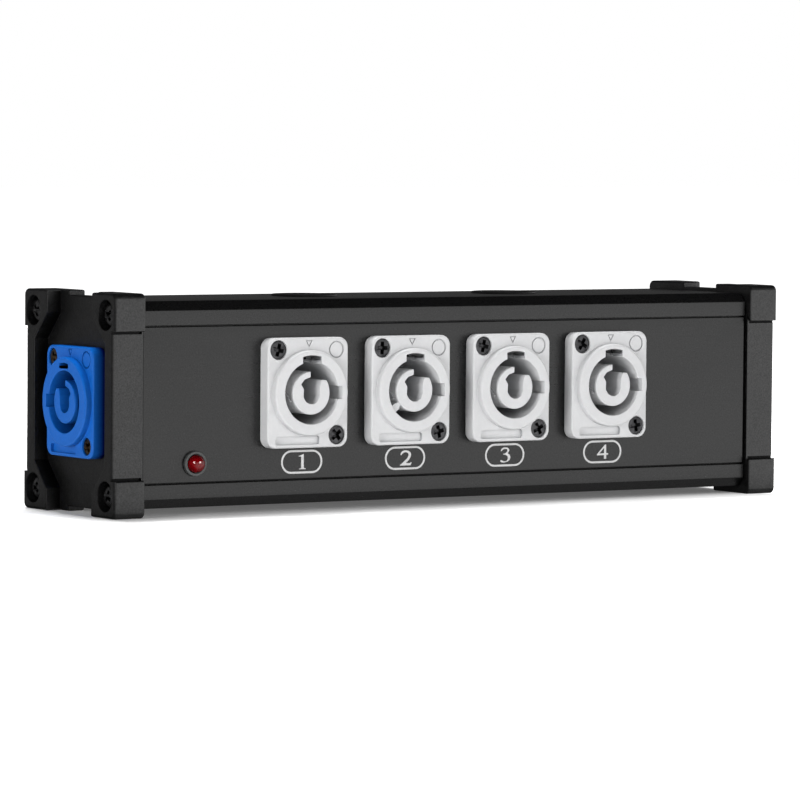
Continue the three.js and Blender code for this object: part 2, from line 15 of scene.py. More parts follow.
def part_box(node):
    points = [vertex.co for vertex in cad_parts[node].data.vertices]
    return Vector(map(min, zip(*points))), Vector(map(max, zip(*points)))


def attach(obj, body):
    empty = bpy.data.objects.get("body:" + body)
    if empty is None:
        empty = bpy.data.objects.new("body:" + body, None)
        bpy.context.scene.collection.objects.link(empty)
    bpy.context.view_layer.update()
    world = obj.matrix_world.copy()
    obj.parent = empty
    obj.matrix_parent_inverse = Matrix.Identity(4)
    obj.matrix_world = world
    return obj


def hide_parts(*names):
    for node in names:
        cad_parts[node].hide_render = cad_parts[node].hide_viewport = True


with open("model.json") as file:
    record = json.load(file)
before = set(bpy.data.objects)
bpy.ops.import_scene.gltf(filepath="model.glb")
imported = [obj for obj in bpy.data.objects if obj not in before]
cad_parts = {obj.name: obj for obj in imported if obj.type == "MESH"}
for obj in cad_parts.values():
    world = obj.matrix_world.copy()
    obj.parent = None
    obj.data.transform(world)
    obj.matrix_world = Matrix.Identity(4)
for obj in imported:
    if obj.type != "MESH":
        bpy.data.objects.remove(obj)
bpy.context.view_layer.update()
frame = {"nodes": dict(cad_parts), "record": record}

MM = 0.001
SEG = 96
CORNERS = ((-1, -1), (-1, 1), (1, -1), (1, 1))
scene = bpy.context.scene


# ------------------------------------------------------------------ outlines
def arc(cx, cy, radius, start, end, steps):
    """Points on an arc, from one angle to another in degrees."""
    angles = [math.radians(start + (end - start) * i / steps) for i in range(steps + 1)]
    return [(cx + radius * math.cos(a), cy + radius * math.sin(a)) for a in angles]


def rounded_rect(width, height, radius, steps):
    points = []
    for k, (sx, sy) in enumerate(((1, 1), (-1, 1), (-1, -1), (1, -1))):
        cx, cy = sx * (width / 2 - radius), sy * (height / 2 - radius)
        points += arc(cx, cy, radius, 90 * k, 90 * k + 90, steps)
    return points


def soft_corners(rows, steps=4):
    """Rounds each corner of a closed outline; the rows are (x, y, corner radius)."""
    out = []
    for i, (x, y, radius) in enumerate(rows):
        corner = Vector((x, y))
        back = Vector(rows[i - 1][:2]) - corner
        ahead = Vector(rows[(i + 1) % len(rows)][:2]) - corner
        back_length, ahead_length = back.length, ahead.length
        back.normalize()
        ahead.normalize()
        angle = back.angle(ahead)
        if radius <= 1e-6 or angle > math.radians(176):
            out.append((corner.x, corner.y))
            continue
        # keep the rounding within both neighbouring sides
        cut = min(radius / math.tan(angle / 2), back_length * 0.48, ahead_length * 0.48)
        radius = cut * math.tan(angle / 2)
        centre = corner + (back + ahead).normalized() * (radius / math.sin(angle / 2))
        first, last = corner + back * cut - centre, corner + ahead * cut - centre
        start = math.atan2(first.y, first.x)
        sweep = (math.atan2(last.y, last.x) - start + math.pi) % (2 * math.pi) - math.pi
        for k in range(steps + 1):
            a = start + sweep * k / steps
            out.append((centre.x + radius * math.cos(a), centre.y + radius * math.sin(a)))
    return out


def mirrored(points, sx, sy):
    """The outline mirrored by the two signs and run backwards."""
    return [(sx * x, sy * y) for x, y in reversed(points)]


# ------------------------------------------------------------------ solids
def to_object(built, name="piece"):
    mesh = bpy.data.meshes.new(name)
    bmesh.ops.recalc_face_normals(built, faces=built.faces)
    built.to_mesh(mesh)
    built.free()
    item = bpy.data.objects.new(name, mesh)
    scene.collection.objects.link(item)
    return item


def loft(first, second):
    """A closed solid between two rings with equally many 3D points."""
    built = bmesh.new()
    lower = [built.verts.new(p) for p in first]
    upper = [built.verts.new(p) for p in second]
    built.faces.new(lower)
    built.faces.new(list(reversed(upper)))
    for i in range(len(lower)):
        j = (i + 1) % len(lower)
        built.faces.new((lower[i], lower[j], upper[j], upper[i]))
    return to_object(built)


def prism(points, z0, z1):
    return loft([(x, y, z0) for x, y in points], [(x, y, z1) for x, y in points])


def box(x0, x1, y0, y1, z0, z1):
    return prism([(x0, y0), (x1, y0), (x1, y1), (x0, y1)], z0, z1)


def lathe(profile, seg=SEG, x=0.0, y=0.0):
    """A turned solid about local +Z; its (radius, z) profile starts and ends on the axis."""
    built = bmesh.new()
    turns = [2 * math.pi * i / seg for i in range(seg)]
    rings = []
    for r, z in profile:
        if r < 1e-6:
            points = [(x, y, z)]
        else:
            points = [(x + r * math.cos(t), y + r * math.sin(t), z) for t in turns]
        rings.append([built.verts.new(p) for p in points])
    for a, b in zip(rings, rings[1:]):
        for i in range(seg):
            j = (i + 1) % seg
            quad = (a[i % len(a)], b[i % len(b)], b[j % len(b)], a[j % len(a)])
            built.faces.new(list(dict.fromkeys(quad)))  # a triangle beside an axis point
    return to_object(built)


def cylinder(radius, z0, z1, seg, x=0.0, y=0.0):
    return lathe([(0, z0), (radius, z0), (radius, z1), (0, z1)], seg, x, y)


# ------------------------------------------------------------------ mesh tools
def duplicate(item):
    copy = item.copy()
    copy.data = item.data.copy()
    scene.collection.objects.link(copy)
    return copy


def drop(*items):
    for item in items:
        mesh = item.data
        bpy.data.objects.remove(item)
        bpy.data.meshes.remove(mesh)


@contextmanager
def editing(item):
    built = bmesh.new()
    built.from_mesh(item.data)
    yield built
    built.to_mesh(item.data)
    built.free()


def settle(item):
    """Applies every modifier of the object."""
    bpy.context.view_layer.update()
    graph = bpy.context.evaluated_depsgraph_get()
    mesh = bpy.data.meshes.new_from_object(item.evaluated_get(graph), depsgraph=graph)
    item.modifiers.clear()
    old = item.data
    item.data = mesh
    bpy.data.meshes.remove(old)


def boolean(item, tools, operation="DIFFERENCE"):
    """Applies and removes each tool, then merges the slivers that are left."""
    for tool in tools:
        modifier = item.modifiers.new("b", "BOOLEAN")
        modifier.operation = operation
        modifier.object = tool
        modifier.solver = "EXACT"
        settle(item)
        drop(tool)
    with editing(item) as built:
        bmesh.ops.remove_doubles(built, verts=built.verts, dist=2e-4)
        bmesh.ops.dissolve_degenerate(built, edges=built.edges, dist=2e-4)
    return item


def flatten(item, degrees):
    """Merges coplanar neighbours, so that a bevel meets clean edges."""
    with editing(item) as built:
        bmesh.ops.dissolve_limit(
            built,
            angle_limit=math.radians(degrees),
            verts=built.verts,
            edges=built.edges,
            use_dissolve_boundaries=False,
        )


def bevel(item, rule, segments):
    """rule(start, end) gives the bevel width of a sharp convex edge, 0 for none."""
    with editing(item) as built:
        built.normal_update()
        layers = built.edges.layers.float
        layer = layers.get("bevel_weight_edge") or layers.new("bevel_weight_edge")
        widths = []
        for e in built.edges:
            sharp = (
                len(e.link_faces) == 2
                and e.is_convex
                and e.calc_face_angle(0) > math.radians(28)
            )
            widths.append(rule(e.verts[0].co, e.verts[1].co) if sharp else 0.0)
        widest = max(widths)
        for e, width in zip(built.edges, widths):
            e[layer] = width / widest
    modifier = item.modifiers.new("bevel", "BEVEL")
    modifier.limit_method = "WEIGHT"
    modifier.width = widest
    modifier.segments = segments
    modifier.profile = 0.5
    modifier.use_clamp_overlap = True
    modifier.miter_outer = "MITER_ARC"
    modifier.harden_normals = False
    settle(item)


def smooth(item, degrees):
    for face in item.data.polygons:
        face.use_smooth = True
    item.data.set_sharp_from_angle(angle=math.radians(degrees))


def weighted(item):
    modifier = item.modifiers.new("wn", "WEIGHTED_NORMAL")
    modifier.keep_sharp = True
    modifier.weight = 60
    settle(item)


def turn(item, degrees, axis, at=(0, 0, 0)):
    """Turns the piece about an axis through its origin, then moves it."""
    item.data.transform(Matrix.Translation(at) @ Matrix.Rotation(math.radians(degrees), 4, axis))
    return item


def flip(item):
    """Mirrors the piece across its local X."""
    item.data.transform(Matrix.Diagonal((-1, 1, 1, 1)))
    item.data.flip_normals()


def store_painted_shade(item, values):
    """Stores, for each face corner, the depth of painted shade that darkens the moulded plastics and
    lowers their sheen.
    """
    depths = item.data.attributes.new("shade_depth_mm", "FLOAT", "CORNER")
    depths.data.foreach_set("value", values)


# ------------------------------------------------------------------ shader nodes
class Nodes:
    """One node tree; a socket may be given a number, a colour or another socket."""

    def __init__(self, owner):
        owner.use_nodes = True
        self.tree = owner.node_tree
        self.tree.nodes.clear()

    def feed(self, socket, value):
        if isinstance(value, bpy.types.NodeSocket):
            self.tree.links.new(value, socket)
        else:
            socket.default_value = value

    def add(self, kind, **values):
        """Adds a node; each value goes to the input of that name, or else to the setting."""
        added = self.tree.nodes.new("ShaderNode" + kind)
        for key, value in values.items():
            if key in added.inputs:
                self.feed(added.inputs[key], value)
            else:
                setattr(added, key, value)
        return added

    def operate(self, kind, operation, values):
        added = self.add(kind, operation=operation)
        for socket, value in zip(added.inputs, values):
            self.feed(socket, value)
        return added

    def math(self, operation, *values):
        return self.operate("Math", operation, values).outputs[0]

    def vector(self, operation, *values):
        return self.operate("VectorMath", operation, values)

    def mix(self, factor, first, second):
        added = self.add("Mix", data_type="RGBA", Factor=factor)
        for socket, value in ((added.inputs[6], first), (added.inputs[7], second)):
            self.feed(socket, (*value, 1) if isinstance(value, tuple) else value)
        return added.outputs[2]

    def ramp(self, source, span=(0.3, 0.7), to=(0.0, 1.0), eased=False):
        """Maps a span, by default the usual reach of a noise, to another."""
        limits = {"From Min": span[0], "From Max": span[1], "To Min": to[0], "To Max": to[1]}
        kind = "SMOOTHSTEP" if eased else "LINEAR"
        return self.add("MapRange", interpolation_type=kind, Value=source, **limits).outputs[0]

    def coords(self, stretch=(1, 1, 1)):
        place = self.add("TexCoord").outputs["Object"]
        return self.add("Mapping", Vector=place, Scale=stretch).outputs[0]

    def noise(self, where, size, detail=3.0, rough=0.6):
        """Noise with features of about the given size in mm."""
        scale = 1.0 / (size * MM)
        added = self.add("TexNoise", Vector=where, Scale=scale, Detail=detail, Roughness=rough)
        return added.outputs["Fac"]

    def bump(self, height, strength, depth, normal=None):
        """A bump with its depth in mm, on top of an earlier normal if one is given."""
        added = self.add("Bump", Strength=strength, Distance=depth * MM, Height=height)
        if normal is not None:
            self.feed(added.inputs["Normal"], normal)
        return added.outputs[0]

    def rounded(self, radius):
        """A normal that softens the edges by a radius in mm."""
        return self.add("Bevel", samples=4, Radius=radius * MM).outputs[0]


class Surface(Nodes):
    """A material with one principled shader."""

    def __init__(self, name):
        self.material = bpy.data.materials.new(name)
        super().__init__(self.material)
        self.output = self.add("OutputMaterial")
        self.shader = self.add("BsdfPrincipled")
        self.feed(self.output.inputs[0], self.shader.outputs[0])

    def finish(self, values):
        for key, value in values.items():
            self.feed(self.shader.inputs[key], value)
        return self.material


# ------------------------------------------------------------------ materials
def darker(colour, share):
    return tuple(c * share for c in colour)


def moulded(
    name, base, tint, rough, grain_mm, grain,
    soft=0.12, spec=0.5, mottling=0.0, shade_colour=None, sheen=0.06,
):
    """Moulded plastic: fine grain, faint mottling, soft edges, and painted shade that darkens colour
    and sheen with the stored depth.
    """
    s = Surface(name)
    where = s.coords()
    fine = s.noise(where, size=grain_mm)
    mid = s.noise(where, size=grain_mm * 3.4, detail=2.0, rough=0.55)
    flow = s.noise(where, size=9.0)
    colour = s.mix(s.ramp(mid), base, tint)
    mottle = s.ramp(flow, span=(0.35, 0.75), to=(0.0, mottling))
    colour = s.mix(mottle, colour, darker(base, 0.72))
    gloss = s.ramp(
        s.noise(where, size=0.45, detail=2.0), to=(spec * (1 - sheen), spec * (1 + sheen))
    )
    # painted shade: the stored depth blends the colour towards the shade colour, then towards black,
    # and lowers the sheen
    if shade_colour:
        depth = s.add("Attribute", attribute_name="shade_depth_mm").outputs["Fac"]
        colour = s.mix(s.ramp(depth, span=(0.6, 8.5)), colour, shade_colour)
        colour = s.mix(s.ramp(depth, span=(26.0, 34.0)), colour, (0.002, 0.002, 0.002))
        gloss = s.math("MULTIPLY", gloss, s.ramp(depth, span=(1.0, 12.0), to=(1.0, 0.2)))
    roughness = s.math(
        "ADD", s.ramp(fine, to=(-0.05, 0.05)), s.ramp(flow, to=(rough - 0.03, rough + 0.04))
    )
    normal = s.bump(mid, strength=grain * 0.6, depth=0.08, normal=s.rounded(soft))
    normal = s.bump(fine, strength=grain, depth=0.05, normal=normal)
    return s.finish({
        "Base Color": colour,
        "Roughness": roughness,
        "Normal": normal,
        "Specular IOR Level": gloss,
        "Coat Roughness": 0.25,
    })


def coated_metal(name, base, tint, rough, grain_mm, grain, drawn, metallic=0.0):
    """Black coated aluminium: a pebbled fine texture with faint lines along X."""
    s = Surface(name)
    where = s.coords()
    fine = s.noise(where, size=grain_mm, rough=0.65)
    mid = s.noise(where, size=grain_mm * 3.0, detail=2.0, rough=0.5)
    lines = s.noise(s.coords(stretch=(0.02, 1, 1)), size=0.35, detail=2.0)
    cloud = s.noise(where, size=22.0)
    colour = s.mix(s.ramp(mid, span=(0.25, 0.75)), base, tint)
    clouded = s.ramp(cloud, span=(0.3, 0.75), to=(0.0, 0.25))
    roughness = s.math(
        "ADD", s.ramp(lines, to=(-0.03, 0.03)), s.ramp(mid, to=(rough - 0.04, rough + 0.04))
    )
    normal = s.bump(lines, strength=drawn, depth=0.02, normal=s.rounded(0.12))
    normal = s.bump(mid, strength=grain * 0.5, depth=0.06, normal=normal)
    return s.finish({
        "Base Color": s.mix(clouded, colour, darker(base, 0.8)),
        "Roughness": roughness,
        "Normal": s.bump(fine, strength=grain, depth=0.035, normal=normal),
        "Specular IOR Level": s.ramp(
            s.noise(where, size=0.42, detail=2.0), to=(0.425, 0.575)
        ),
        "Metallic": metallic,
    })


def screw_metal(name, base, tint, rough):
    """Plated steel with small stains."""
    s = Surface(name)
    where = s.coords()
    fine = s.noise(where, size=0.18)
    stain = s.ramp(s.noise(where, size=1.1), span=(0.35, 0.7))
    return s.finish({
        "Base Color": s.mix(stain, base, tint),
        "Roughness": s.ramp(fine, to=(rough - 0.07, rough + 0.1)),
        "Metallic": 1.0,
        "Normal": s.bump(fine, strength=0.25, depth=0.03, normal=s.rounded(0.1)),
    })


def wire(name, base, stripe=None):
    """Wire insulation, plain or with stripes."""
    s = Surface(name)
    where = s.coords()
    fine = s.noise(where, size=0.3, detail=2.0, rough=0.5)
    colour = s.mix(s.ramp(fine), base, darker(base, 0.8))
    if stripe:
        wave = s.add("TexWave", Scale=180.0, Distortion=0.4, Vector=where).outputs["Fac"]
        colour = s.mix(s.ramp(wave, span=(0.45, 0.55)), colour, stripe)
    return s.finish({
        "Base Color": colour,
        "Roughness": s.ramp(fine, to=(0.36, 0.48)),
        "Normal": s.bump(fine, strength=0.1, depth=0.05),
    })


def brass(name):
    """Stained brass, brushed along Y."""
    s = Surface(name)
    fine = s.noise(s.coords(stretch=(1, 0.15, 1)), size=0.25)
    stain = s.ramp(s.noise(s.coords(), size=2.0), span=(0.35, 0.7))
    return s.finish({
        "Base Color": s.mix(stain, (0.60, 0.42, 0.14), (0.42, 0.29, 0.10)),
        "Roughness": s.ramp(fine, to=(0.22, 0.38)),
        "Metallic": 1.0,
        "Normal": s.bump(fine, strength=0.2, depth=0.03),
    })


def red_lens(name):
    """Glossy red plastic, darker where it turns away."""
    s = Surface(name)
    cloud = s.noise(s.coords(), size=1.6, detail=2.0, rough=0.5)
    facing = s.add("LayerWeight", Blend=0.35).outputs["Facing"]
    colour = s.mix(facing, (0.17, 0.001, 0.003), (0.045, 0.0, 0.001))
    return s.finish({
        "Base Color": s.mix(s.ramp(cloud, to=(0.0, 0.35)), colour, (0.10, 0.0, 0.0015)),
        "Roughness": s.ramp(cloud, to=(0.05, 0.09)),
        "Specular IOR Level": 0.3,
        "Subsurface Weight": 0.15,
        "Subsurface Radius": (0.003, 0.0005, 0.0005),
        "Coat Weight": 0.1,
        "Coat Roughness": 0.03,
    })


def ink(name):
    """Slightly worn white print."""
    s = Surface(name)
    fine = s.noise(s.coords(), size=0.22)
    worn = s.ramp(fine, span=(0.3, 0.72))
    return s.finish({
        "Base Color": s.mix(worn, (0.70, 0.70, 0.70), (0.55, 0.55, 0.55)),
        "Roughness": s.ramp(fine, to=(0.5, 0.65)),
        "Normal": s.bump(fine, strength=0.15, depth=0.01),
    })


BLACK = (0.0022, 0.0022, 0.0023)
BLACK_TINT = (0.0040, 0.0040, 0.0041)
# in the moulded plastics, the darkest colour given is painted shade, blended in where a recess, bore or
# notch is deep
RECIPES = {
    "housing_black": (coated_metal, dict(
        base=BLACK, tint=BLACK_TINT, rough=0.31, grain_mm=0.16, grain=0.42, drawn=0.12)),
    "panel_black": (coated_metal, dict(
        base=BLACK, tint=BLACK_TINT, rough=0.32, grain_mm=0.16, grain=0.46, drawn=0.1)),
    "cap_black": (moulded, dict(
        base=BLACK, tint=(0.0075, 0.0075, 0.0077), rough=0.40, grain_mm=0.36, grain=1.0,
        spec=0.62, mottling=0.3, shade_colour=(0.0008, 0.0008, 0.0008), sheen=0.22)),
    "plug_black": (moulded, dict(
        base=(0.004, 0.004, 0.004), tint=(0.006, 0.006, 0.006), rough=0.5,
        grain_mm=0.25, grain=0.3, soft=0.1)),
    "connector_white": (moulded, dict(
        base=(0.635, 0.638, 0.645), tint=(0.612, 0.615, 0.623), rough=0.5,
        grain_mm=0.3, grain=0.06, soft=0.08, mottling=0.05, shade_colour=(0.40, 0.406, 0.418))),
    "connector_blue": (moulded, dict(
        base=(0.0050, 0.113, 0.475), tint=(0.0035, 0.101, 0.435), rough=0.5, grain_mm=0.3,
        grain=0.06, soft=0.08, spec=0.34, mottling=0.08, shade_colour=(0.0001, 0.0022, 0.056))),
    "black_screw": (screw_metal, dict(
        base=(0.15, 0.15, 0.153), tint=(0.06, 0.06, 0.062), rough=0.22)),
    "dark_screw": (screw_metal, dict(
        base=(0.085, 0.085, 0.088), tint=(0.035, 0.035, 0.037), rough=0.36)),
    "nickel_screw": (screw_metal, dict(
        base=(0.22, 0.165, 0.11), tint=(0.10, 0.072, 0.045), rough=0.34)),
    "contact_brass": (brass, {}),
    "lamp_red": (red_lens, {}),
    "bezel_grey": (coated_metal, dict(
        base=(0.060, 0.063, 0.063), tint=(0.075, 0.078, 0.078), rough=0.36,
        grain_mm=0.2, grain=0.2, drawn=0.0, metallic=0.3)),
    "wire_brown": (wire, dict(base=(0.10, 0.035, 0.014))),
    "wire_blue": (wire, dict(base=(0.02, 0.09, 0.40))),
    "wire_green": (wire, dict(base=(0.05, 0.30, 0.05), stripe=(0.75, 0.62, 0.04))),
    "print_white": (ink, {}),
}
MATS = {name: maker(name, **values) for name, (maker, values) in RECIPES.items()}

NODE_SLOT = {s["node"]: s["material_slot"] for s in frame["record"]["subparts"]}
for node_name, node in frame["nodes"].items():
    node.data.materials.clear()
    node.data.materials.append(MATS[NODE_SLOT[node_name]])
    for face in node.data.polygons:
        face.material_index = 0


def finish_piece(item, matrix, name, slot, replaced=None):
    """Places a piece in metres, gives it its material, hangs it on the root body and hides the CAD part
    it replaces.
    """
    item.data.transform(matrix @ Matrix.Diagonal((MM, MM, MM, 1)))
    item.data.update()
    item.name = name
    item.data.name = name
    item.data.materials.clear()
    item.data.materials.append(MATS[slot])
    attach(item, "root")
    if replaced:
        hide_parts(replaced)


# ------------------------------------------------------------------ frames from the CAD boxes
def basis(origin, x, y, z):
    matrix = Matrix((x, y, z)).transposed().to_4x4()
    matrix.translation = origin
    return matrix


def centre(node):
    lo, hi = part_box(node)
    return (lo.x + hi.x) / 2, (lo.y + hi.y) / 2, (lo.z + hi.z) / 2


# local z points out of the face and local y up; local x is to a viewer's right
FRONT_AXES = ((1, 0, 0), (0, 0, 1), (0, -1, 0))
LEFT_AXES = ((0, -1, 0), (0, 0, 1), (-1, 0, 0))
RIGHT_AXES = ((0, 1, 0), (0, 0, 1), (1, 0, 0))

MID_X, MID_Y, MID_Z = centre("extrusion_body")
PANEL_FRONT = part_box("front_panel")[0].y
CAP_DEPTH = 10.2
left_end = basis(
    (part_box("end_cap_left")[0].x + CAP_DEPTH * MM, MID_Y, MID_Z), *LEFT_AXES
)
right_end = basis(
    (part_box("end_cap_right")[1].x - CAP_DEPTH * MM, MID_Y, MID_Z), *RIGHT_AXES
)
# local x is the box's Y, local y its height about the middle, local z runs along the box
along = basis((MID_X, MID_Y, MID_Z), (0, 1, 0), (0, 0, 1), (1, 0, 0))

OUTLETS = [f"outlet_{i}" for i in range(1, 5)]
FACE = 6.15  # height of a socket's ring above its frame's origin


def socket_frame(socket):
    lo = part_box(f"{socket}_housing")[0]
    x, y, z = centre(f"{socket}_housing")
    if socket == "inlet":
        return basis((lo.x + FACE * MM, y, z), *LEFT_AXES)
    return basis((x, lo.y + FACE * MM, z), *FRONT_AXES)


def half_length(node):
    lo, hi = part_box(node)
    return (hi.x - lo.x) / 2 / MM


# ------------------------------------------------------------------ housing and front panel
HALF_Y, HALF_Z = 23.8, 28.7
CHAMFER = 2.55
WALL = 1.8
INNER_Y, INNER_Z = HALF_Y - WALL, HALF_Z - WALL
LIP = 22.0  # half the height of the front opening
LEFT_EXTRA = 0.42  # how far both profiles run on at the left end
SCREW_X, SCREW_Y = 20.5, 25.0  # corner screws, from the middle of the end
SOCKET_HOLE = 12.1
FLANGE_HOLES = ((-9.5, 12), (9.5, -12))

# x, y, corner radius: the upper front edge, inwards to the top wall
UPPER_FRONT = [
    (-HALF_Y, HALF_Z - CHAMFER, 0.5), (-HALF_Y, LIP, 0.18), (-22.9, LIP, 0.1),
    (-22.9, 22.85, 0.1), (-21.5, 22.85, 0.1), (-21.5, 20.8, 0.1), (-20.3, 20.8, 0.1),
    (-20.3, 21.9, 0.2), (-18.4, 22.6, 0.6), (-17.6, 24.0, 0.6), (-17.6, INNER_Z, 0.4),
]
# x, y, corner radius: inside, from the top wall down the rear wall
UPPER_REAR = [
    (17.6, INNER_Z, 0.4), (17.6, 24.0, 0.6), (18.4, 22.6, 0.6), (INNER_Y, 21.9, 0.4),
]
REAR_RIB = [(INNER_Y, 3.6, 0.4), (19.8, 3.0, 0.2), (19.8, -3.0, 0.2), (INNER_Y, -3.6, 0.4)]
OUTSIDE = [
    (-HALF_Y + CHAMFER, -HALF_Z, 0.5), (HALF_Y - CHAMFER, -HALF_Z, 0.5),
    (HALF_Y, -HALF_Z + CHAMFER, 0.5), (HALF_Y, HALF_Z - CHAMFER, 0.5),
    (HALF_Y - CHAMFER, HALF_Z, 0.5),
]


def upside_down(rows):
    return [(x, -y, radius) for x, y, radius in reversed(rows)]


def build_housing():
    rows = [(-HALF_Y + CHAMFER, HALF_Z, 0.5)] + UPPER_FRONT + UPPER_REAR + REAR_RIB
    rows += upside_down(UPPER_REAR) + upside_down(UPPER_FRONT) + OUTSIDE
    half = half_length("extrusion_body")
    housing = prism(soft_corners(rows, 3), -half - LEFT_EXTRA, half)
    tools = [
        cylinder(1.6, -half - 1, half + 1, 24, sx * SCREW_X, sy * SCREW_Y) for sx, sy in CORNERS
    ]
    for i in (1, 2):  # holes for the plugs in the top
        x, y, _ = centre(f"top_plug_{i}")
        at = ((y - MID_Y) / MM, HALF_Z, (x - MID_X) / MM)
        tools.append(turn(cylinder(8.0, -3, 3, 64), 90, "X", at))
    # a blind hole in the rib inside the rear wall
    tools.append(turn(cylinder(1.3, -2, 2, 24), 90, "Y", (20.8, 0, -72)))
    boolean(housing, tools)
    smooth(housing, 40)
    finish_piece(housing, along, "housing_extrusion", "housing_black", "extrusion_body")


def build_panel():
    front, back = -HALF_Y, -HALF_Y + 2.0
    half_z, tongue_z, tongue = 21.65, 22.55, 0.8  # tongues along the top and bottom edges
    rows = [
        (front, -half_z, 0.22), (back - tongue, -half_z, 0.05),
        (back - tongue, -tongue_z, 0.1), (back, -tongue_z, 0.1),
    ]
    rows += upside_down(rows)
    half = half_length("front_panel")
    panel = prism(soft_corners(rows, 3), -half - LEFT_EXTRA, half)

    def hole(radius, x, z, seg):
        return turn(cylinder(radius, -4, 4, seg), 90, "Y", (front, z, x))

    tools = []
    for outlet in OUTLETS:
        middle = socket_frame(outlet).translation
        x, z = (middle.x - MID_X) / MM, (middle.z - MID_Z) / MM
        tools.append(hole(SOCKET_HOLE, x, z, 64))
        tools += [hole(1.55, x + dx, z + dz, 20) for dx, dz in FLANGE_HOLES]
    x, _, z = centre("indicator_bezel")
    tools.append(hole(3.2, (x - MID_X) / MM, (z - MID_Z) / MM, 32))
    boolean(panel, tools)
    smooth(panel, 40)
    finish_piece(panel, along, "front_panel_plate", "panel_black", "front_panel")


# ------------------------------------------------------------------ end caps
BUMPER_X, BUMPER_Y = 26.0, 31.0  # half sizes over the corner bumpers
CAP_X, CAP_Y = 24.55, 29.55  # half sizes between the bumpers
BUMPER_R = 1.8
BUMPER_LONG = 10.5  # length of a bumper down the side
SIDE_Y = BUMPER_Y - BUMPER_LONG
STEP_X = 8.0  # inner end of a bumper along the top and bottom
PAD_X, PAD_Y = 12.8, 24.6  # inner corner of a raised pad
STRIP_X, STRIP_Y = 20.1, 17.1  # inner corner of the raised strip between two pads
CAP_FLOOR = 5.2
END_Z = CAP_DEPTH - 0.45  # the end plane, just inside the CAD's
END_R = 0.85
SEAT_Z = 6.3  # bottom of the counterbores


def cap_edge(start, end):
    """Bevel width of an edge of the cap's rough shape."""
    middle = (start + end) / 2
    x, y, z = abs(middle.x), abs(middle.y), middle.z
    bumper = x > CAP_X + 0.05 or y > CAP_Y + 0.05
    outer = x > BUMPER_X - 0.9 or y > BUMPER_Y - 0.9
    upright = abs(start.z - end.z) > 1.0
    if outer and upright and x > BUMPER_X - 2.2 and y > BUMPER_Y - 2.2:
        return 0.0  # the plan arc already rounds this edge
    if abs(z) < 0.05:
        return 0.6 if bumper else 0.08
    if outer:
        return 0.0 if z > END_Z - 0.1 else 0.45  # the end face is rounded later
    return 0.35


def round_cap_end(cap):
    """The broad rounding between the end face and the four sides."""
    block = prism(
        rounded_rect(2 * BUMPER_X + 0.004, 2 * BUMPER_Y + 0.004, BUMPER_R, 8), -6, END_Z + 0.002
    )
    bevel(block, lambda a, b: END_R if min(a.z, b.z) > END_Z - 0.1 else 0.0, segments=6)
    boolean(cap, [block], "INTERSECT")
    low = END_Z - END_R
    outline = [(CAP_X - END_R, END_Z + 1)] + arc(CAP_X - END_R, low, END_R, 90, 0, 8)
    outline += [(CAP_X + 0.9, low), (CAP_X + 0.9, END_Z + 1)]
    reach = SIDE_Y - 0.3
    for sx in (-1, 1):
        boolean(cap, [turn(prism([(sx * x, z) for x, z in outline], -reach, reach), 90, "X")])


def build_cap():
    side = [(CAP_X, SIDE_Y), (BUMPER_X, SIDE_Y)]
    side += arc(BUMPER_X - BUMPER_R, BUMPER_Y - BUMPER_R, BUMPER_R, 0, 90, 6)
    quarter = side + [(STEP_X, BUMPER_Y), (STEP_X, CAP_Y)]
    half = mirrored(quarter, 1, -1) + quarter
    cap = prism(half + mirrored(half, -1, 1), 0, CAP_FLOOR)
    pads = side + [(PAD_X, BUMPER_Y), (PAD_X, PAD_Y), (STRIP_X, STRIP_Y)]
    raised = pads + mirrored(pads, 1, -1)
    walls = [prism(p, CAP_FLOOR - 0.6, END_Z) for p in (raised, mirrored(raised, -1, 1))]
    boolean(cap, walls, "UNION")
    flatten(cap, 0.6)
    bevel(cap, cap_edge, segments=3)
    round_cap_end(cap)
    # two tongues that reach into the housing, and a pocket between them
    inner_x = 16.2
    tongues = [
        box(-inner_x, inner_x, 24.7, 26.5, -4, 0.6), box(-inner_x, inner_x, -26.5, -24.7, -4, 0.6)
    ]
    boolean(cap, tongues, "UNION")
    tools = [box(-inner_x, inner_x, -23.2, 23.2, -1, 2.2)]
    counterbore = [
        (0, -1), (1.9, -1), (1.9, SEAT_Z), (4.2, SEAT_Z), (4.2, END_Z - 0.28),
        (4.26, END_Z - 0.12), (4.5, END_Z + 0.02), (4.6, END_Z + 1), (0, END_Z + 1),
    ]
    for sx, sy in CORNERS:
        # a groove between the bumper and the side
        x0, x1 = sorted((sx * (CAP_X - 0.75), sx * (CAP_X + 0.7)))
        y0, y1 = sorted((sy * (SIDE_Y - 0.7), sy * (SIDE_Y + 0.12)))
        tools.append(box(x0, x1, y0, y1, 0.5, END_Z + 1))
        tools.append(lathe(counterbore, 64, sx * SCREW_X, sy * SCREW_Y))
    return boolean(cap, tools)


def paint_cap_shade(cap):
    """Stores painted shade for the walls of the recess, the counterbores and the grooves."""
    mesh = cap.data
    values = []
    for face in mesh.polygons:
        c, normal = face.center, face.normal
        wall = abs(normal.z) < 0.5 and CAP_FLOOR - 0.5 < c.z < END_Z - 0.1
        inward = c.x * normal.x < 0 or abs(normal.x) < 0.3
        recess = wall and abs(c.x) < STRIP_X + 0.5 and inward and abs(c.y) < BUMPER_Y - 1.0
        groove = (
            CAP_X - 0.95 < abs(c.x) < CAP_X + 0.5
            and SIDE_Y - 0.8 < abs(c.y) < SIDE_Y + 0.2
            and 0.4 < c.z < END_Z
        )
        for v in face.vertices:
            # painted shade: the grooves near black, the recess walls darker towards the floor
            if groove:
                values.append(14.0)
            elif recess:
                values.append(max(END_Z - 0.3 - mesh.vertices[v].co.z, 0.0) * 3.2)
            else:
                values.append(0.0)
    store_painted_shade(cap, values)


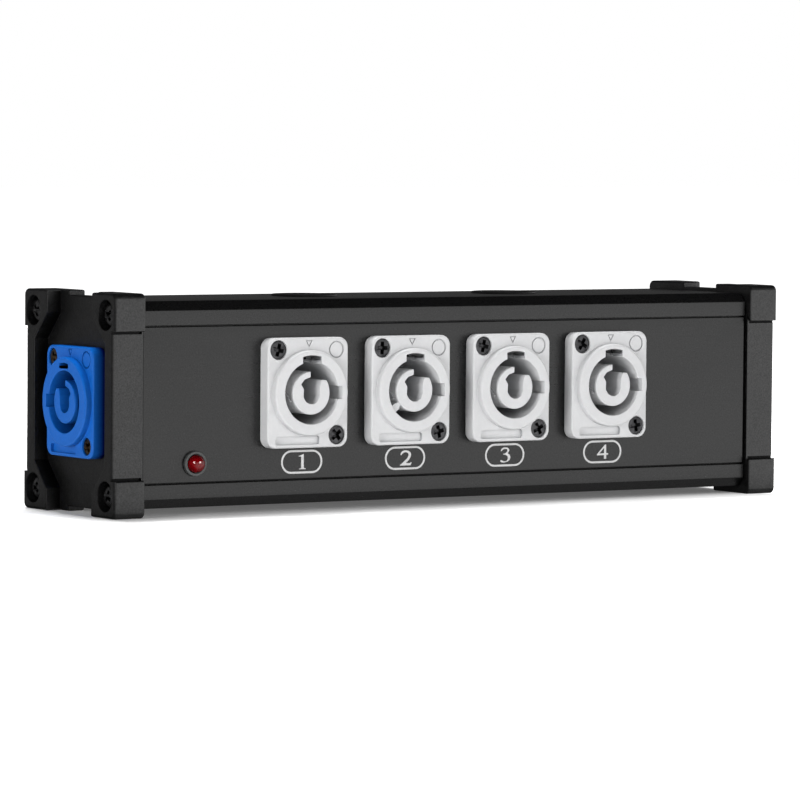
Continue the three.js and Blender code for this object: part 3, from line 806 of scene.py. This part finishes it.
def build_caps():
    left = build_cap()
    right = duplicate(left)
    y = (socket_frame("inlet").translation.z - MID_Z) / MM
    holes = [cylinder(SOCKET_HOLE, -1, 8, 64, 0, y)]
    holes += [cylinder(1.5, -1, 8, 16, dx, y + dy) for dx, dy in FLANGE_HOLES]
    boolean(left, holes)
    for cap, matrix, side in ((left, left_end, "left"), (right, right_end, "right")):
        smooth(cap, 35)
        weighted(cap)
        paint_cap_shade(cap)
        finish_piece(cap, matrix, f"cap_{side}_moulding", "cap_black", f"end_cap_{side}")


# ------------------------------------------------------------------ screws
FLANGE_Z = 4.15  # front of a socket's flange
FLANGE_SCREWS = ((-9.78, 12.12), (9.5, -12.0))  # upper left, lower right
# degrees each cross recess is turned, in the order of CORNERS
CAP_SCREW_TURNS = {"left": (52, 20, 64, 38), "right": (29, 73, 47, 12)}
# degrees, upper and lower screw
FLANGE_SCREW_TURNS = {
    "inlet": (20, 35), "outlet_1": (-14, 40), "outlet_2": (-2, 12),
    "outlet_3": (-12, 28), "outlet_4": (-30, 8),
}


def cut_cross(screw, size, depth, top):
    """Cuts a cross recess: four tapering wings on a pointed core, opening at z = top."""
    width = 1.15

    def ring(x, y, z):
        return [(-x, -y, z), (x, -y, z), (x, y, z), (-x, y, z)]

    mouth = ring(size / 2 + 0.1, width / 2 + 0.03, top + 0.4)
    foot = ring(size * 0.24, width * 0.36, top - depth)
    wings = [turn(loft(mouth, foot), degrees, "Z") for degrees in (0, 90)]
    core = lathe(
        [
            (0, top - depth - 0.35), (size * 0.17, top - depth + 0.1),
            (size * 0.22, top + 0.4), (0, top + 0.4),
        ],
        12,
    )
    boolean(screw, [boolean(wings[0], [wings[1], core], "UNION")])
    smooth(screw, 35)


def build_pan_screw():
    profile = [
        (0, -18), (0.4, -18), (1.35, -15.6), (1.35, -0.2), (1.6, 0),
        (3.55, 0), (3.72, 0.15), (3.75, 0.5),
    ]
    for degrees in range(0, 90, 9):
        t = math.radians(degrees)
        profile.append((3.75 * math.cos(t), 1.05 + 1.55 * math.sin(t)))
    screw = lathe(profile + [(0, 2.6)], 48)
    cut_cross(screw, size=4.2, depth=1.6, top=2.6)
    return screw


def build_sunk_screw():
    profile = [
        (0, -11), (1.15, -11), (1.15, -1.6), (2.54, -0.3), (2.6, -0.2),
        (2.58, -0.08), (2.42, 0.0), (1.5, 0.05), (0, 0.08),
    ]
    screw = lathe(profile, 48)
    cut_cross(screw, size=3.9, depth=1.5, top=0.05)
    return screw


def build_screws():
    pan = build_pan_screw()
    for end, side, front in ((left_end, "left", 1), (right_end, "right", -1)):
        for (sx, sy), degrees in zip(CORNERS, CAP_SCREW_TURNS[side]):
            depth_name = "front" if sx == front else "rear"
            name = f"cap_screw_{side}_{depth_name}_{'top' if sy > 0 else 'bottom'}"
            at = (sx * SCREW_X * MM, sy * SCREW_Y * MM, (SEAT_Z + 0.1) * MM)
            spin = Matrix.Rotation(math.radians(degrees), 4, "Z")
            matrix = end @ Matrix.Translation(at) @ spin
            finish_piece(duplicate(pan), matrix, name + "_fine", "black_screw", name)
    drop(pan)
    sunk = build_sunk_screw()
    for socket, turns in FLANGE_SCREW_TURNS.items():
        scale, slot = (0.9, "nickel_screw") if socket == "inlet" else (1.0, "dark_screw")
        for where, (x, y), degrees in zip(("upper", "lower"), FLANGE_SCREWS, turns):
            at = Matrix.Translation((x * MM, y * MM, (FLANGE_Z - 0.35) * MM))
            spin = Matrix.Rotation(math.radians(degrees), 4, "Z")
            matrix = socket_frame(socket) @ at @ Matrix.Scale(scale, 4) @ spin
            name = f"{socket}_flange_screw_{where}"
            finish_piece(duplicate(sunk), matrix, name + "_fine", slot, name)
    drop(sunk)


# ------------------------------------------------------------------ sockets
BORE_R = 8.75
CORE_R = 6.05
DIAL_AT = (9.15, 12.0)  # sunken circle, upper right on the flange
LABEL_AT = (-3.5, -13.3)  # label pocket at the foot of the flange
# x, y, corner radius: the inside of the C-shaped core, from its right tip to its upper tip
CORE_INSIDE = [
    (3.3, 3.6, 0.15), (2.75, 1.6, 0.7), (2.65, -0.8, 1.0), (2.05, -2.3, 0.9),
    (0.9, -3.1, 1.0), (-0.5, -3.1, 1.0), (-1.8, -2.45, 0.9), (-2.6, -1.2, 1.2),
    (-2.5, 1.1, 0.15), (-3.4, 2.5, 0.12), (-2.3, 3.8, 0.5), (-0.32, 4.45, 0.25),
]
# x, y, corner radius: the block that bridges the core to the bore
CORE_KEY = [
    (5.8, -0.75, 0), (6.9, -0.75, 0.05), (7.0, -1.05, 0.12), (8.72, -1.05, 0.05),
    (8.72, 1.05, 0.05), (6.8, 1.05, 0.12), (6.7, 0.6, 0.05), (5.8, 0.6, 0),
]


def flange_edge(start, end):
    if (start.z + end.z) / 2 > 4.0:
        return 0.5
    return 0.2 if abs(start.z - end.z) < 0.01 else 0.0


def notch_tools(blue):
    """The notch above the bore, with its pocket behind the ring's thin wall."""
    if blue:
        outline = arc(0, 0, 10.85, 76.5, 103.5, 8)
        outline += arc(-2.1, 9.75, 0.5, 150, 270, 4) + arc(2.1, 9.75, 0.5, 270, 390, 4)
        return [prism(outline, -8.0, 8)]
    return [
        prism(arc(0, 0, 10.6, 73.2, 106.8, 8) + [(-3.05, 6.5), (3.05, 6.5)], 0.8, 8),
        prism(arc(0, 0, 10.59, 73.5, 106.5, 8) + [(-3.0, 9.2), (3.0, 9.2)], -3.0, 5.6),
        box(2.6, 4.7, 9.15, 10.1, -2.3, 5.55),
    ]


def flange_mark_tools():
    """The sunken circle, the label pocket and the small triangle near the top."""
    top = FLANGE_Z
    circle = [
        (0, top - 0.5), (2.32, top - 0.5), (2.36, top - 0.35), (2.46, top + 0.02),
        (2.46, top + 1), (0, top + 1),
    ]
    label = [(x + LABEL_AT[0], y + LABEL_AT[1]) for x, y in rounded_rect(14.4, 2.4, 0.7, 5)]
    triangle = [(-1.05, 14.75, 0.1), (0.12, 12.7, 0.1), (1.25, 14.75, 0.1)]
    return [
        lathe(circle, 48, *DIAL_AT),
        prism(label, top - 0.9, top + 1),
        prism(soft_corners(triangle, 2), top - 0.35, top + 1),
    ]


def build_shell(blue):
    """Flange, ring and barrel; the keyway is on the right, or on the left of the blue one."""
    plan = [(x - 0.12, y) for x, y in rounded_rect(26.44, 30.9, 2.9, 12)]
    shell = prism(plan, 0.1, FLANGE_Z)
    flatten(shell, 0.05)
    bevel(shell, flange_edge, segments=4)
    ring_r, nose_r, sink = (12.45, 0.55, 2.45) if blue else (12.0, 0.7, 2.72)
    fillet = 0.12  # hollow fillet from the flange up to the ring
    profile = [(0, 1.5), (ring_r + fillet, 1.5)]
    profile += arc(ring_r + fillet, FLANGE_Z + fillet, fillet, 270, 180, 3)
    profile += arc(ring_r - nose_r, FACE - nose_r, nose_r, 0, 90, 6) + [(0, FACE)]
    ring = lathe(profile)
    barrel = lathe([(0, -17), (11.2, -17), (11.7, -16.5), (11.7, 3.0), (0, 3.0)], 64)
    boolean(shell, [ring, barrel], "UNION")
    bore = [(0, -18), (BORE_R, -18), (BORE_R, 5.9)] + arc(9.0, 5.9, 0.25, 180, 90, 3)[1:]
    tools = [lathe(bore + [(9.15, 6.16), (9.3, 7.5), (0, 7.5)])] + notch_tools(blue)
    outline = [(7.0, -1.85, 0), (10.0, -1.85, 0.25), (10.0, 1.85, 0.25), (7.0, 1.85, 0)]
    keyway = prism(soft_corners(outline, 3), -12, 8)
    if blue:
        flip(keyway)
    tools.append(keyway)
    countersink = [
        (0, -1), (1.6, -1), (1.6, 2.0), (sink, 3.2), (sink, 3.95), (sink + 0.08, 4.16),
        (sink + 0.2, 5.5), (0, 5.5),
    ]
    tools += [lathe(countersink, 48, x, y) for x, y in FLANGE_SCREWS]
    boolean(shell, tools + flange_mark_tools())
    # the raised middle of the triangle, then a low dial inside the sunken circle
    top = FLANGE_Z
    middle = [(-0.58, 14.47), (0.12, 13.24), (0.82, 14.47)]
    boolean(shell, [prism(middle, top - 0.5, top - 0.04)], "UNION")
    dial = [(0, top - 0.7), (2.02, top - 0.7), (2.02, top - 0.16), (1.92, top - 0.1), (0, top - 0.1)]
    return boolean(shell, [lathe(dial, 40, *DIAL_AT)], "UNION")


def core_edge(start, end):
    if min(start.z, end.z) <= 5:
        return 0.0
    return 0.4 if min(start.xy.length, end.xy.length) > 5.9 else 0.15


def build_core(keyed):
    """The C-shaped contact carrier on its back disc, with or without the key block."""
    outer = arc(0, 0, CORE_R, 93, 396, 72)
    inner = soft_corners([(*outer[-1], 0)] + CORE_INSIDE + [(*outer[0], 0)])[1:-1]
    core = prism(outer + inner, -13.6, FACE - 0.3)
    flatten(core, 0.05)
    bevel(core, core_edge, segments=3)
    disc = [(0, -17), (8.2, -17), (8.45, -16.8), (8.45, -13.4), (8.3, -13.2), (0, -13.2)]
    boolean(core, [lathe(disc, 64)], "UNION")
    # three notches in the disc's rim and a window in the core's left side
    tools = [turn(box(6.25, 7.75, -2.35, 2.35, -19, -11), a, "Z") for a in (90, 210, 330)]
    tools.append(box(-6.6, -5.45, -2.1, 2.1, -11, FACE - 1.3))
    boolean(core, tools)
    # a sloping rib inside the window
    added = [turn(box(-5.95, -5.2, -0.32, 0.32, -3.4, 3.4), 38, "X", (0, -0.2, 1.2))]
    if keyed:
        added.append(turn(prism(soft_corners(CORE_KEY, 2), -4.0, FACE - 0.9), 218, "Z"))
    return boolean(core, added, "UNION")


# stored painted-shade depths on the plastic's scale, where its painted shade turns from the shade
# colour to black
DARK, NEAR_BLACK, PITCH_BLACK = 26.0, 31.0, 300.0


def bore_shade_depth(point, normal, blue, core):
    """Painted shade depth behind the mouth; near-black painted shade in the notch and its pocket, less
    painted shade on the core's outside.
    """
    x, y, z = point
    r = math.hypot(x, y)
    depth = max(FACE - z, 0.0)
    if blue:
        if y > 9.1 and abs(x) < 2.9 and normal.z < 0.5:
            return PITCH_BLACK if z < 5.0 else DARK
    elif y > 9.05 and abs(x) < 4.8 and z < 5.7:
        return PITCH_BLACK if x > 3.1 else NEAR_BLACK
    elif normal.z > 0.5 and 8.2 < y < 9.3 and abs(x) < 3.2 and z < 3.0:
        return NEAR_BLACK
    elif core and normal.z < 0.5 and abs(r - CORE_R) < 0.3:
        if normal.x * x + normal.y * y > 0.8 * r:
            return depth * 0.1
    return depth


def flange_shade_depth(point, normal, blue, mark):
    """Painted shade depth in the flange's marks, towards the foot of the ring, and for the blue one
    down towards the foot of the outer walls.
    """
    x, y, z = point
    if mark and (abs(normal.z) < 0.6 or (z < 3.95 and -11.0 < y)):
        if blue:
            return 3.0
        if normal.z > 0.6:
            return 5.0
        if y < 0:
            return 16.0
        return 3.0 if x > 5 else 8.0
    if normal.z > 0.9:
        return 0.0
    if math.hypot(x, y) < 12.7 and z > 4.0:
        return max(5.2 - z, 0.0) * 2.6
    return max(3.7 - z, 0.0) * 2.8 if blue else 0.0


def on_mark(points):
    """True for faces of the label pocket, the sunken circle and the triangle."""
    c = sum(points, Vector()) / len(points)
    label = abs(c.x - LABEL_AT[0]) < 7.3 and -14.7 < c.y < -11.95
    circle = math.hypot(c.x - DIAL_AT[0], c.y - DIAL_AT[1]) < 2.6
    triangle = abs(c.x) < 1.4 and 12.6 < c.y < 14.85
    return 3.0 < c.z < 4.3 and (label or circle or triangle)


# stores painted shade for each face corner: in the bore and notch, in the marks and at the foot of the
# walls
def paint_socket_shade(item, blue, core):
    values = []
    for face in item.data.polygons:
        points = [item.data.vertices[v].co for v in face.vertices]
        if all(math.hypot(p.x, p.y) < 10.75 for p in points):
            values += [bore_shade_depth(p, face.normal, blue, core) for p in points]
        else:
            mark = on_mark(points)
            values += [flange_shade_depth(p, face.normal, blue, mark) for p in points]
    store_painted_shade(item, values)


def build_sockets():
    shells = {blue: build_shell(blue) for blue in (False, True)}
    cores = {keyed: build_core(keyed) for keyed in (False, True)}
    for socket in ("inlet", *OUTLETS):
        blue = socket == "inlet"
        slot = "connector_blue" if blue else "connector_white"
        for source, part, node in (
            (shells[blue], "shell", "housing"),
            (cores[socket == "outlet_2"], "core", "contact_carrier"),
        ):
            item = duplicate(source)
            if blue and part == "core":
                flip(item)
            smooth(item, 35)
            weighted(item)
            paint_socket_shade(item, blue, part == "core")
            finish_piece(item, socket_frame(socket), f"{socket}_{part}", slot, f"{socket}_{node}")
    drop(*shells.values(), *cores.values())


# ------------------------------------------------------------------ lamp and top plugs
def build_lamp():
    x, _, z = centre("indicator_bezel")
    matrix = basis((x, PANEL_FRONT, z), *FRONT_AXES)
    outside = [
        (0, -7), (2.8, -7), (3.0, -6.8), (3.0, 0.02), (3.5, 0.02), (3.54, 0.1), (3.54, 0.7)
    ]
    bezel = lathe(outside + arc(3.24, 0.72, 0.3, 5, 90, 5) + [(0, 1.02)], 72)
    bore = [(0, -5), (2.56, -5), (2.56, 0.72), (2.66, 0.92), (2.8, 1.03), (2.8, 3), (0, 3)]
    boolean(bezel, [lathe(bore, 72), cylinder(1.8, -8, 0, 32)])
    smooth(bezel, 35)
    finish_piece(bezel, matrix, "lamp_bezel", "bezel_grey", "indicator_bezel")
    radius = 2.46
    top = (matrix.translation.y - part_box("indicator_lens")[0].y) / MM
    base = top - radius
    dome = arc(0, base, radius, 0, 85, 17)
    stem = [(0, -4.8), (2.26, -4.8), (radius, -4.6), (radius, base - 0.2)]
    lens = lathe(stem + dome + [(0, top)], 72)
    smooth(lens, 40)
    finish_piece(lens, matrix, "lamp_lens", "lamp_red", "indicator_lens")


def build_plugs():
    profile = [(0, -5), (7.2, -5), (7.6, -4.6), (7.6, 0.05), (9.3, 0.05), (9.45, 0.12)]
    profile += arc(9.05, 0.15, 0.4, 0, 80, 5)
    profile += [(8.6, 0.55), (7.7, 0.55), (7.5, 0.36), (7.0, 0.3), (0, 0.34)]
    for i in (1, 2):
        node = f"top_plug_{i}"
        x, y, _ = centre(node)
        matrix = Matrix.Translation((x, y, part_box(node)[1].z - 0.8 * MM))
        plug = boolean(lathe(profile), [cylinder(6.4, -6, -0.9, 48)])
        smooth(plug, 35)
        finish_piece(plug, matrix, f"plug_cap_{i}", "plug_black", node)


# ------------------------------------------------------------------ printed marks
PRINT_GAP, PRINT_THICK = 0.005, 0.02
OVAL_WIDE, OVAL_HIGH, OVAL_LINE = 13.6, 6.62, 0.56
# middle of each oval from the middle of its outlet: x, y
OVAL_AT = {1: (0.49, -19.59), 2: (0.67, -19.52), 3: (0.47, -19.64), 4: (0.41, -19.68)}
# digit outlines about the middle of the oval: (x, y) on a curve, (x, y, 1) at a corner;
# a second outline is cut out of the first
GLYPHS = {
    1: [
        [(-0.90, -2.10, 1), (1.38, -2.10, 1), (1.38, -1.97, 1), (0.96, -1.85), (0.74, -1.62),
         (0.68, -1.2), (0.67, 0.5), (0.67, 2.14, 1), (0.55, 2.17, 1), (0.1, 1.97),
         (-0.45, 1.79), (-1.0, 1.63, 1), (-0.95, 1.48, 1), (-0.48, 1.50), (-0.22, 1.36),
         (-0.17, 1.1), (-0.17, -1.4), (-0.24, -1.76), (-0.48, -1.90), (-0.90, -1.97, 1)],
    ],
    2: [
        [(-1.55, 0.80, 1), (-1.48, 1.27), (-1.03, 1.88), (-0.03, 2.16), (0.96, 2.03),
         (1.76, 1.55), (2.01, 0.93), (1.80, 0.14), (1.14, -0.74), (0.25, -1.45, 1),
         (1.55, -1.50), (1.98, -1.22, 1), (2.24, -1.28, 1), (1.84, -2.15, 1),
         (-1.68, -2.15, 1), (-1.71, -2.0, 1), (-0.42, -1.03), (0.69, -0.10), (1.15, 0.72),
         (1.0, 1.26), (0.46, 1.59), (-0.2, 1.59), (-0.86, 1.26), (-1.28, 0.80, 1)],
    ],
    3: [
        [(-1.36, 1.14, 1), (-1.21, 1.60), (-0.69, 2.02), (0.09, 2.16), (1.10, 1.97),
         (1.55, 1.46), (1.43, 0.93), (0.95, 0.46, 1), (1.61, 0.07), (1.91, -0.62),
         (1.77, -1.33), (1.10, -1.89), (-0.09, -2.17), (-0.94, -2.12), (-1.43, -1.89),
         (-1.50, -1.58), (-1.13, -1.49), (-0.61, -1.72), (0.0, -1.84), (0.72, -1.67),
         (1.06, -1.10), (1.01, -0.48), (0.50, -0.07), (-0.17, 0.10), (-0.50, 0.17, 1),
         (-0.42, 0.32, 1), (0.19, 0.50), (0.75, 0.87), (0.90, 1.41), (0.55, 1.70),
         (-0.09, 1.72), (-0.70, 1.48), (-1.12, 1.14, 1)],
    ],
    4: [
        [(0.96, 2.06, 1), (1.34, 2.06, 1), (1.40, -0.46, 1), (2.08, -0.50, 1),
         (2.04, -0.93, 1), (1.42, -0.97, 1), (1.40, -2.08, 1), (0.60, -2.10, 1),
         (0.62, -1.0, 1), (-1.85, -1.05, 1), (-1.92, -0.75, 1)],
        [(0.62, 1.10, 1), (0.62, -0.48, 1), (-1.05, -0.52, 1)],
    ],
}


def curve_points(rows, steps=5):
    """A closed smooth outline through the rows of a glyph, sharp at its corners."""
    count = len(rows)
    points = [Vector(row[:2]) for row in rows]
    sharp = [len(row) > 2 for row in rows]
    out = []
    for i in range(count):
        j = (i + 1) % count
        p1, p2 = points[i], points[j]
        p0 = p1 * 2 - p2 if sharp[i] else points[i - 1]
        p3 = p2 * 2 - p1 if sharp[j] else points[(j + 1) % count]
        for k in range(steps):
            t = k / steps
            q = 0.5 * (
                (2 * p1)
                + (p2 - p0) * t
                + (2 * p0 - 5 * p1 + 4 * p2 - p3) * t * t
                + (3 * p1 - p0 - 3 * p2 + p3) * t**3
            )
            out.append((q.x, q.y))
    return out


def oval(inset):
    reach, radius = OVAL_WIDE / 2 - OVAL_HIGH / 2, OVAL_HIGH / 2 - inset
    return arc(reach, 0, radius, -90, 90, 24) + arc(-reach, 0, radius, 90, 270, 24)


def build_mark(outlines, matrix, name):
    mark = prism(outlines[0], PRINT_GAP, PRINT_THICK + PRINT_GAP)
    if len(outlines) > 1:
        boolean(mark, [prism(points, -1, 1) for points in outlines[1:]])
    smooth(mark, 30)
    finish_piece(mark, matrix, name, "print_white")


def build_marks():
    for i, (dx, dz) in OVAL_AT.items():
        middle = socket_frame(f"outlet_{i}").translation
        at = (middle.x + dx * MM, PANEL_FRONT, middle.z + dz * MM)
        matrix = basis(at, *FRONT_AXES)
        build_mark([oval(0), oval(OVAL_LINE)], matrix, f"marking_oval_{i}")
        build_mark([curve_points(rows) for rows in GLYPHS[i]], matrix, f"marking_digit_{i}")


build_housing()
build_panel()
build_caps()
build_screws()
build_sockets()
build_lamp()
build_plugs()
build_marks()

# ------------------------------------------------------------------ studio
BRIGHT_WAY = (0.6, -0.8, 0)  # towards the bright front right of the studio
BRIGHT = 1.47
DIM_LEFT, DIM_RIGHT = 0.20, 0.10  # wall brightness at the back
WHITE = (1, 1, 1, 1)


def level_part(nodes, vec):
    return nodes.vector("MULTIPLY", vec, (1, 1, 0)).outputs[0]


def glow_level(nodes, vec):
    """Wall brightness: bright at the front right, dimmer behind, least at the back right."""
    unit = nodes.vector("NORMALIZE", level_part(nodes, vec)).outputs[0]
    side = nodes.vector("DOT_PRODUCT", unit, BRIGHT_WAY).outputs["Value"]
    x = nodes.add("SeparateXYZ", Vector=vec).outputs["X"]
    back = nodes.ramp(x, span=(-0.5, 0.5), to=(DIM_LEFT, DIM_RIGHT), eased=True)
    facing = nodes.ramp(side, span=(-0.3, 0.7), eased=True)
    gain = nodes.math("MULTIPLY", facing, nodes.math("SUBTRACT", BRIGHT, back))
    return nodes.math("ADD", back, gain)


def floor_fill(s, where, x, y):
    """How much the camera sees the floor glow: least around and behind the box; painted light lifts the
    box's cast shadow beside its right end and in front.
    """
    distance = s.vector("LENGTH", level_part(s, where)).outputs["Value"]
    far = s.ramp(distance, span=(0.20, 0.50), eased=True)
    beside = s.ramp(x, span=(0.106, 0.112), eased=True)
    ahead = s.math("SUBTRACT", s.math("MULTIPLY", x, 0.05), y)
    before = s.ramp(ahead, span=(0.016, 0.036), to=(0.11, 0.73), eased=True)
    return s.math("MAXIMUM", s.math("MAXIMUM", far, beside), before)


def floor_sheen(s, x, y):
    """What glossy rays see of the floor: a painted reflection of the wall's glow, with painted shade
    close to the box.
    """
    away = s.math(
        "MAXIMUM",
        s.math("SUBTRACT", s.math("ABSOLUTE", x), 0.114),
        s.math("SUBTRACT", s.math("ABSOLUTE", y), 0.028),
    )
    open_floor = s.ramp(away, span=(0.0004, 0.013), to=(0.18, 1.0), eased=True)
    ray = s.vector("SCALE", s.add("NewGeometry").outputs["Incoming"])
    ray.inputs["Scale"].default_value = -1.0
    glow = glow_level(s, ray.outputs[0])
    return s.add("Emission", Strength=s.math("MULTIPLY", open_floor, glow)).outputs[0]


def floor_material():
    s = Surface("studio_floor")
    where = s.coords()
    fine = s.noise(where, size=40.0, detail=2.0, rough=0.5)
    position = s.add("SeparateXYZ", Vector=where)
    x, y = position.outputs["X"], position.outputs["Y"]
    path = s.add("LightPath")
    fill = floor_fill(s, where, x, y)
    s.finish({
        "Base Color": s.mix(fine, (0.93, 0.93, 0.93), (0.92, 0.92, 0.92)),
        "Roughness": 0.9,
        "Specular IOR Level": 0.1,
        "Emission Strength": s.math("MULTIPLY", fill, path.outputs["Is Camera Ray"]),
        "Emission Color": WHITE,
    })
    sheen = floor_sheen(s, x, y)
    blend = s.add("MixShader")
    for socket, value in zip(
        blend.inputs, (path.outputs["Is Glossy Ray"], s.shader.outputs[0], sheen)
    ):
        s.feed(socket, value)
    s.feed(s.output.inputs[0], blend.outputs[0])
    return s.material


def build_floor():
    material = floor_material()
    built = bmesh.new()
    half = 6.0
    corners = ((-half, -half, 0), (half, -half, 0), (half, half, 0), (-half, half, 0))
    built.faces.new([built.verts.new(p) for p in corners])
    floor = to_object(built, "studio_floor")
    floor.data.materials.append(material)
    floor.location.z = -0.00002


def build_world():
    """White to the camera; for other rays, walls that glow up to a low height."""
    world = bpy.data.worlds.new("studio")
    scene.world = world
    n = Nodes(world)
    output = n.add("OutputWorld")
    way = n.add("TexCoord").outputs["Generated"]
    height = n.add("SeparateXYZ", Vector=way).outputs["Z"]
    fall = n.ramp(height, span=(0.27, 0.47), to=(1.0, 0.012), eased=True)
    light = n.math("MULTIPLY", glow_level(n, way), fall)
    camera_ray = n.add("LightPath").outputs["Is Camera Ray"]
    strength = n.math("MAXIMUM", light, camera_ray)
    background = n.add("Background", Strength=strength, Color=WHITE)
    n.feed(output.inputs[0], background.outputs[0])


def area(name, at, target, size, power, color=(1, 1, 1)):
    """A square area light aimed at a target."""
    light = bpy.data.lights.new(name, "AREA")
    light.energy = power
    light.color = color
    light.shape = "RECTANGLE"
    light.size = size
    light.size_y = size
    item = bpy.data.objects.new(name, light)
    scene.collection.objects.link(item)
    item.location = at
    item.rotation_euler = (Vector(target) - Vector(at)).to_track_quat("-Z", "Y").to_euler()
    return item


def build_lights():
    # broad fills for the matt surfaces only; the sheen comes from the studio walls
    area("overhead", at=(0.0, 0.31, 1.25), target=(0, 0, 0), size=0.34, power=19).visible_glossy = False
    aim = Vector((0, 0, 0.03))
    for name, way, size, power in (
        ("softbox_left", (-0.93, -0.33, 0.16), 0.32, 7.5),
        ("softbox_front", (0.30, -0.94, 0.14), 0.40, 2.4),
    ):
        area(name, Vector(way) * 1.2 + aim, aim, size, power).visible_glossy = False
    # the lamp's lens alone mirrors two round reflectors, one on each side of the camera
    lens_only = bpy.data.collections.new("lens_only")
    lens_only.objects.link(bpy.data.objects["lamp_lens"])
    lamp_at = Vector((-0.087, -0.026, 0.015))
    for name, way in (
        ("glint_left", (-0.830, -0.453, 0.328)),
        ("glint_right", (0.366, -0.858, 0.362)),
    ):
        at = Vector(way) * 0.8 + lamp_at
        glint = area(name, at, lamp_at, size=0.36, power=8.5, color=(1.0, 0.88, 0.85))
        glint.data.shape = "DISK"
        glint.visible_diffuse = False
        glint.light_linking.receiver_collection = lens_only


# ------------------------------------------------------------------ camera
CAMERA_AT = (-803.1056872093961, -1238.4253865033135, 109.22482471144293)  # mm
# radians; yaw turns from +Y towards +X
YAW, PITCH, ROLL = 0.5729789768624357, -0.05417259587172547, 0.007865801261195307
SENSOR_WIDTH, FOCAL_LENGTH = 36.0, 229.70632667049216  # mm


def build_camera():
    cos_yaw, sin_yaw = math.cos(YAW), math.sin(YAW)
    cos_pitch, sin_pitch = math.cos(PITCH), math.sin(PITCH)
    cos_roll, sin_roll = math.cos(ROLL), math.sin(ROLL)
    forward = Vector((sin_yaw * cos_pitch, cos_yaw * cos_pitch, sin_pitch))
    level = Vector((cos_yaw, -sin_yaw, 0))
    upright = level.cross(forward)
    right = level * cos_roll + upright * sin_roll
    up = -level * sin_roll + upright * cos_roll
    data = bpy.data.cameras.new("camera")
    data.sensor_width = SENSOR_WIDTH
    data.lens = FOCAL_LENGTH
    data.clip_start = 0.01
    data.clip_end = 100
    camera = bpy.data.objects.new("camera", data)
    scene.collection.objects.link(camera)
    camera.matrix_world = basis([c * MM for c in CAMERA_AT], right, up, -forward)
    scene.camera = camera


build_floor()
build_world()
build_lights()
build_camera()
scene.view_settings.view_transform = "Standard"

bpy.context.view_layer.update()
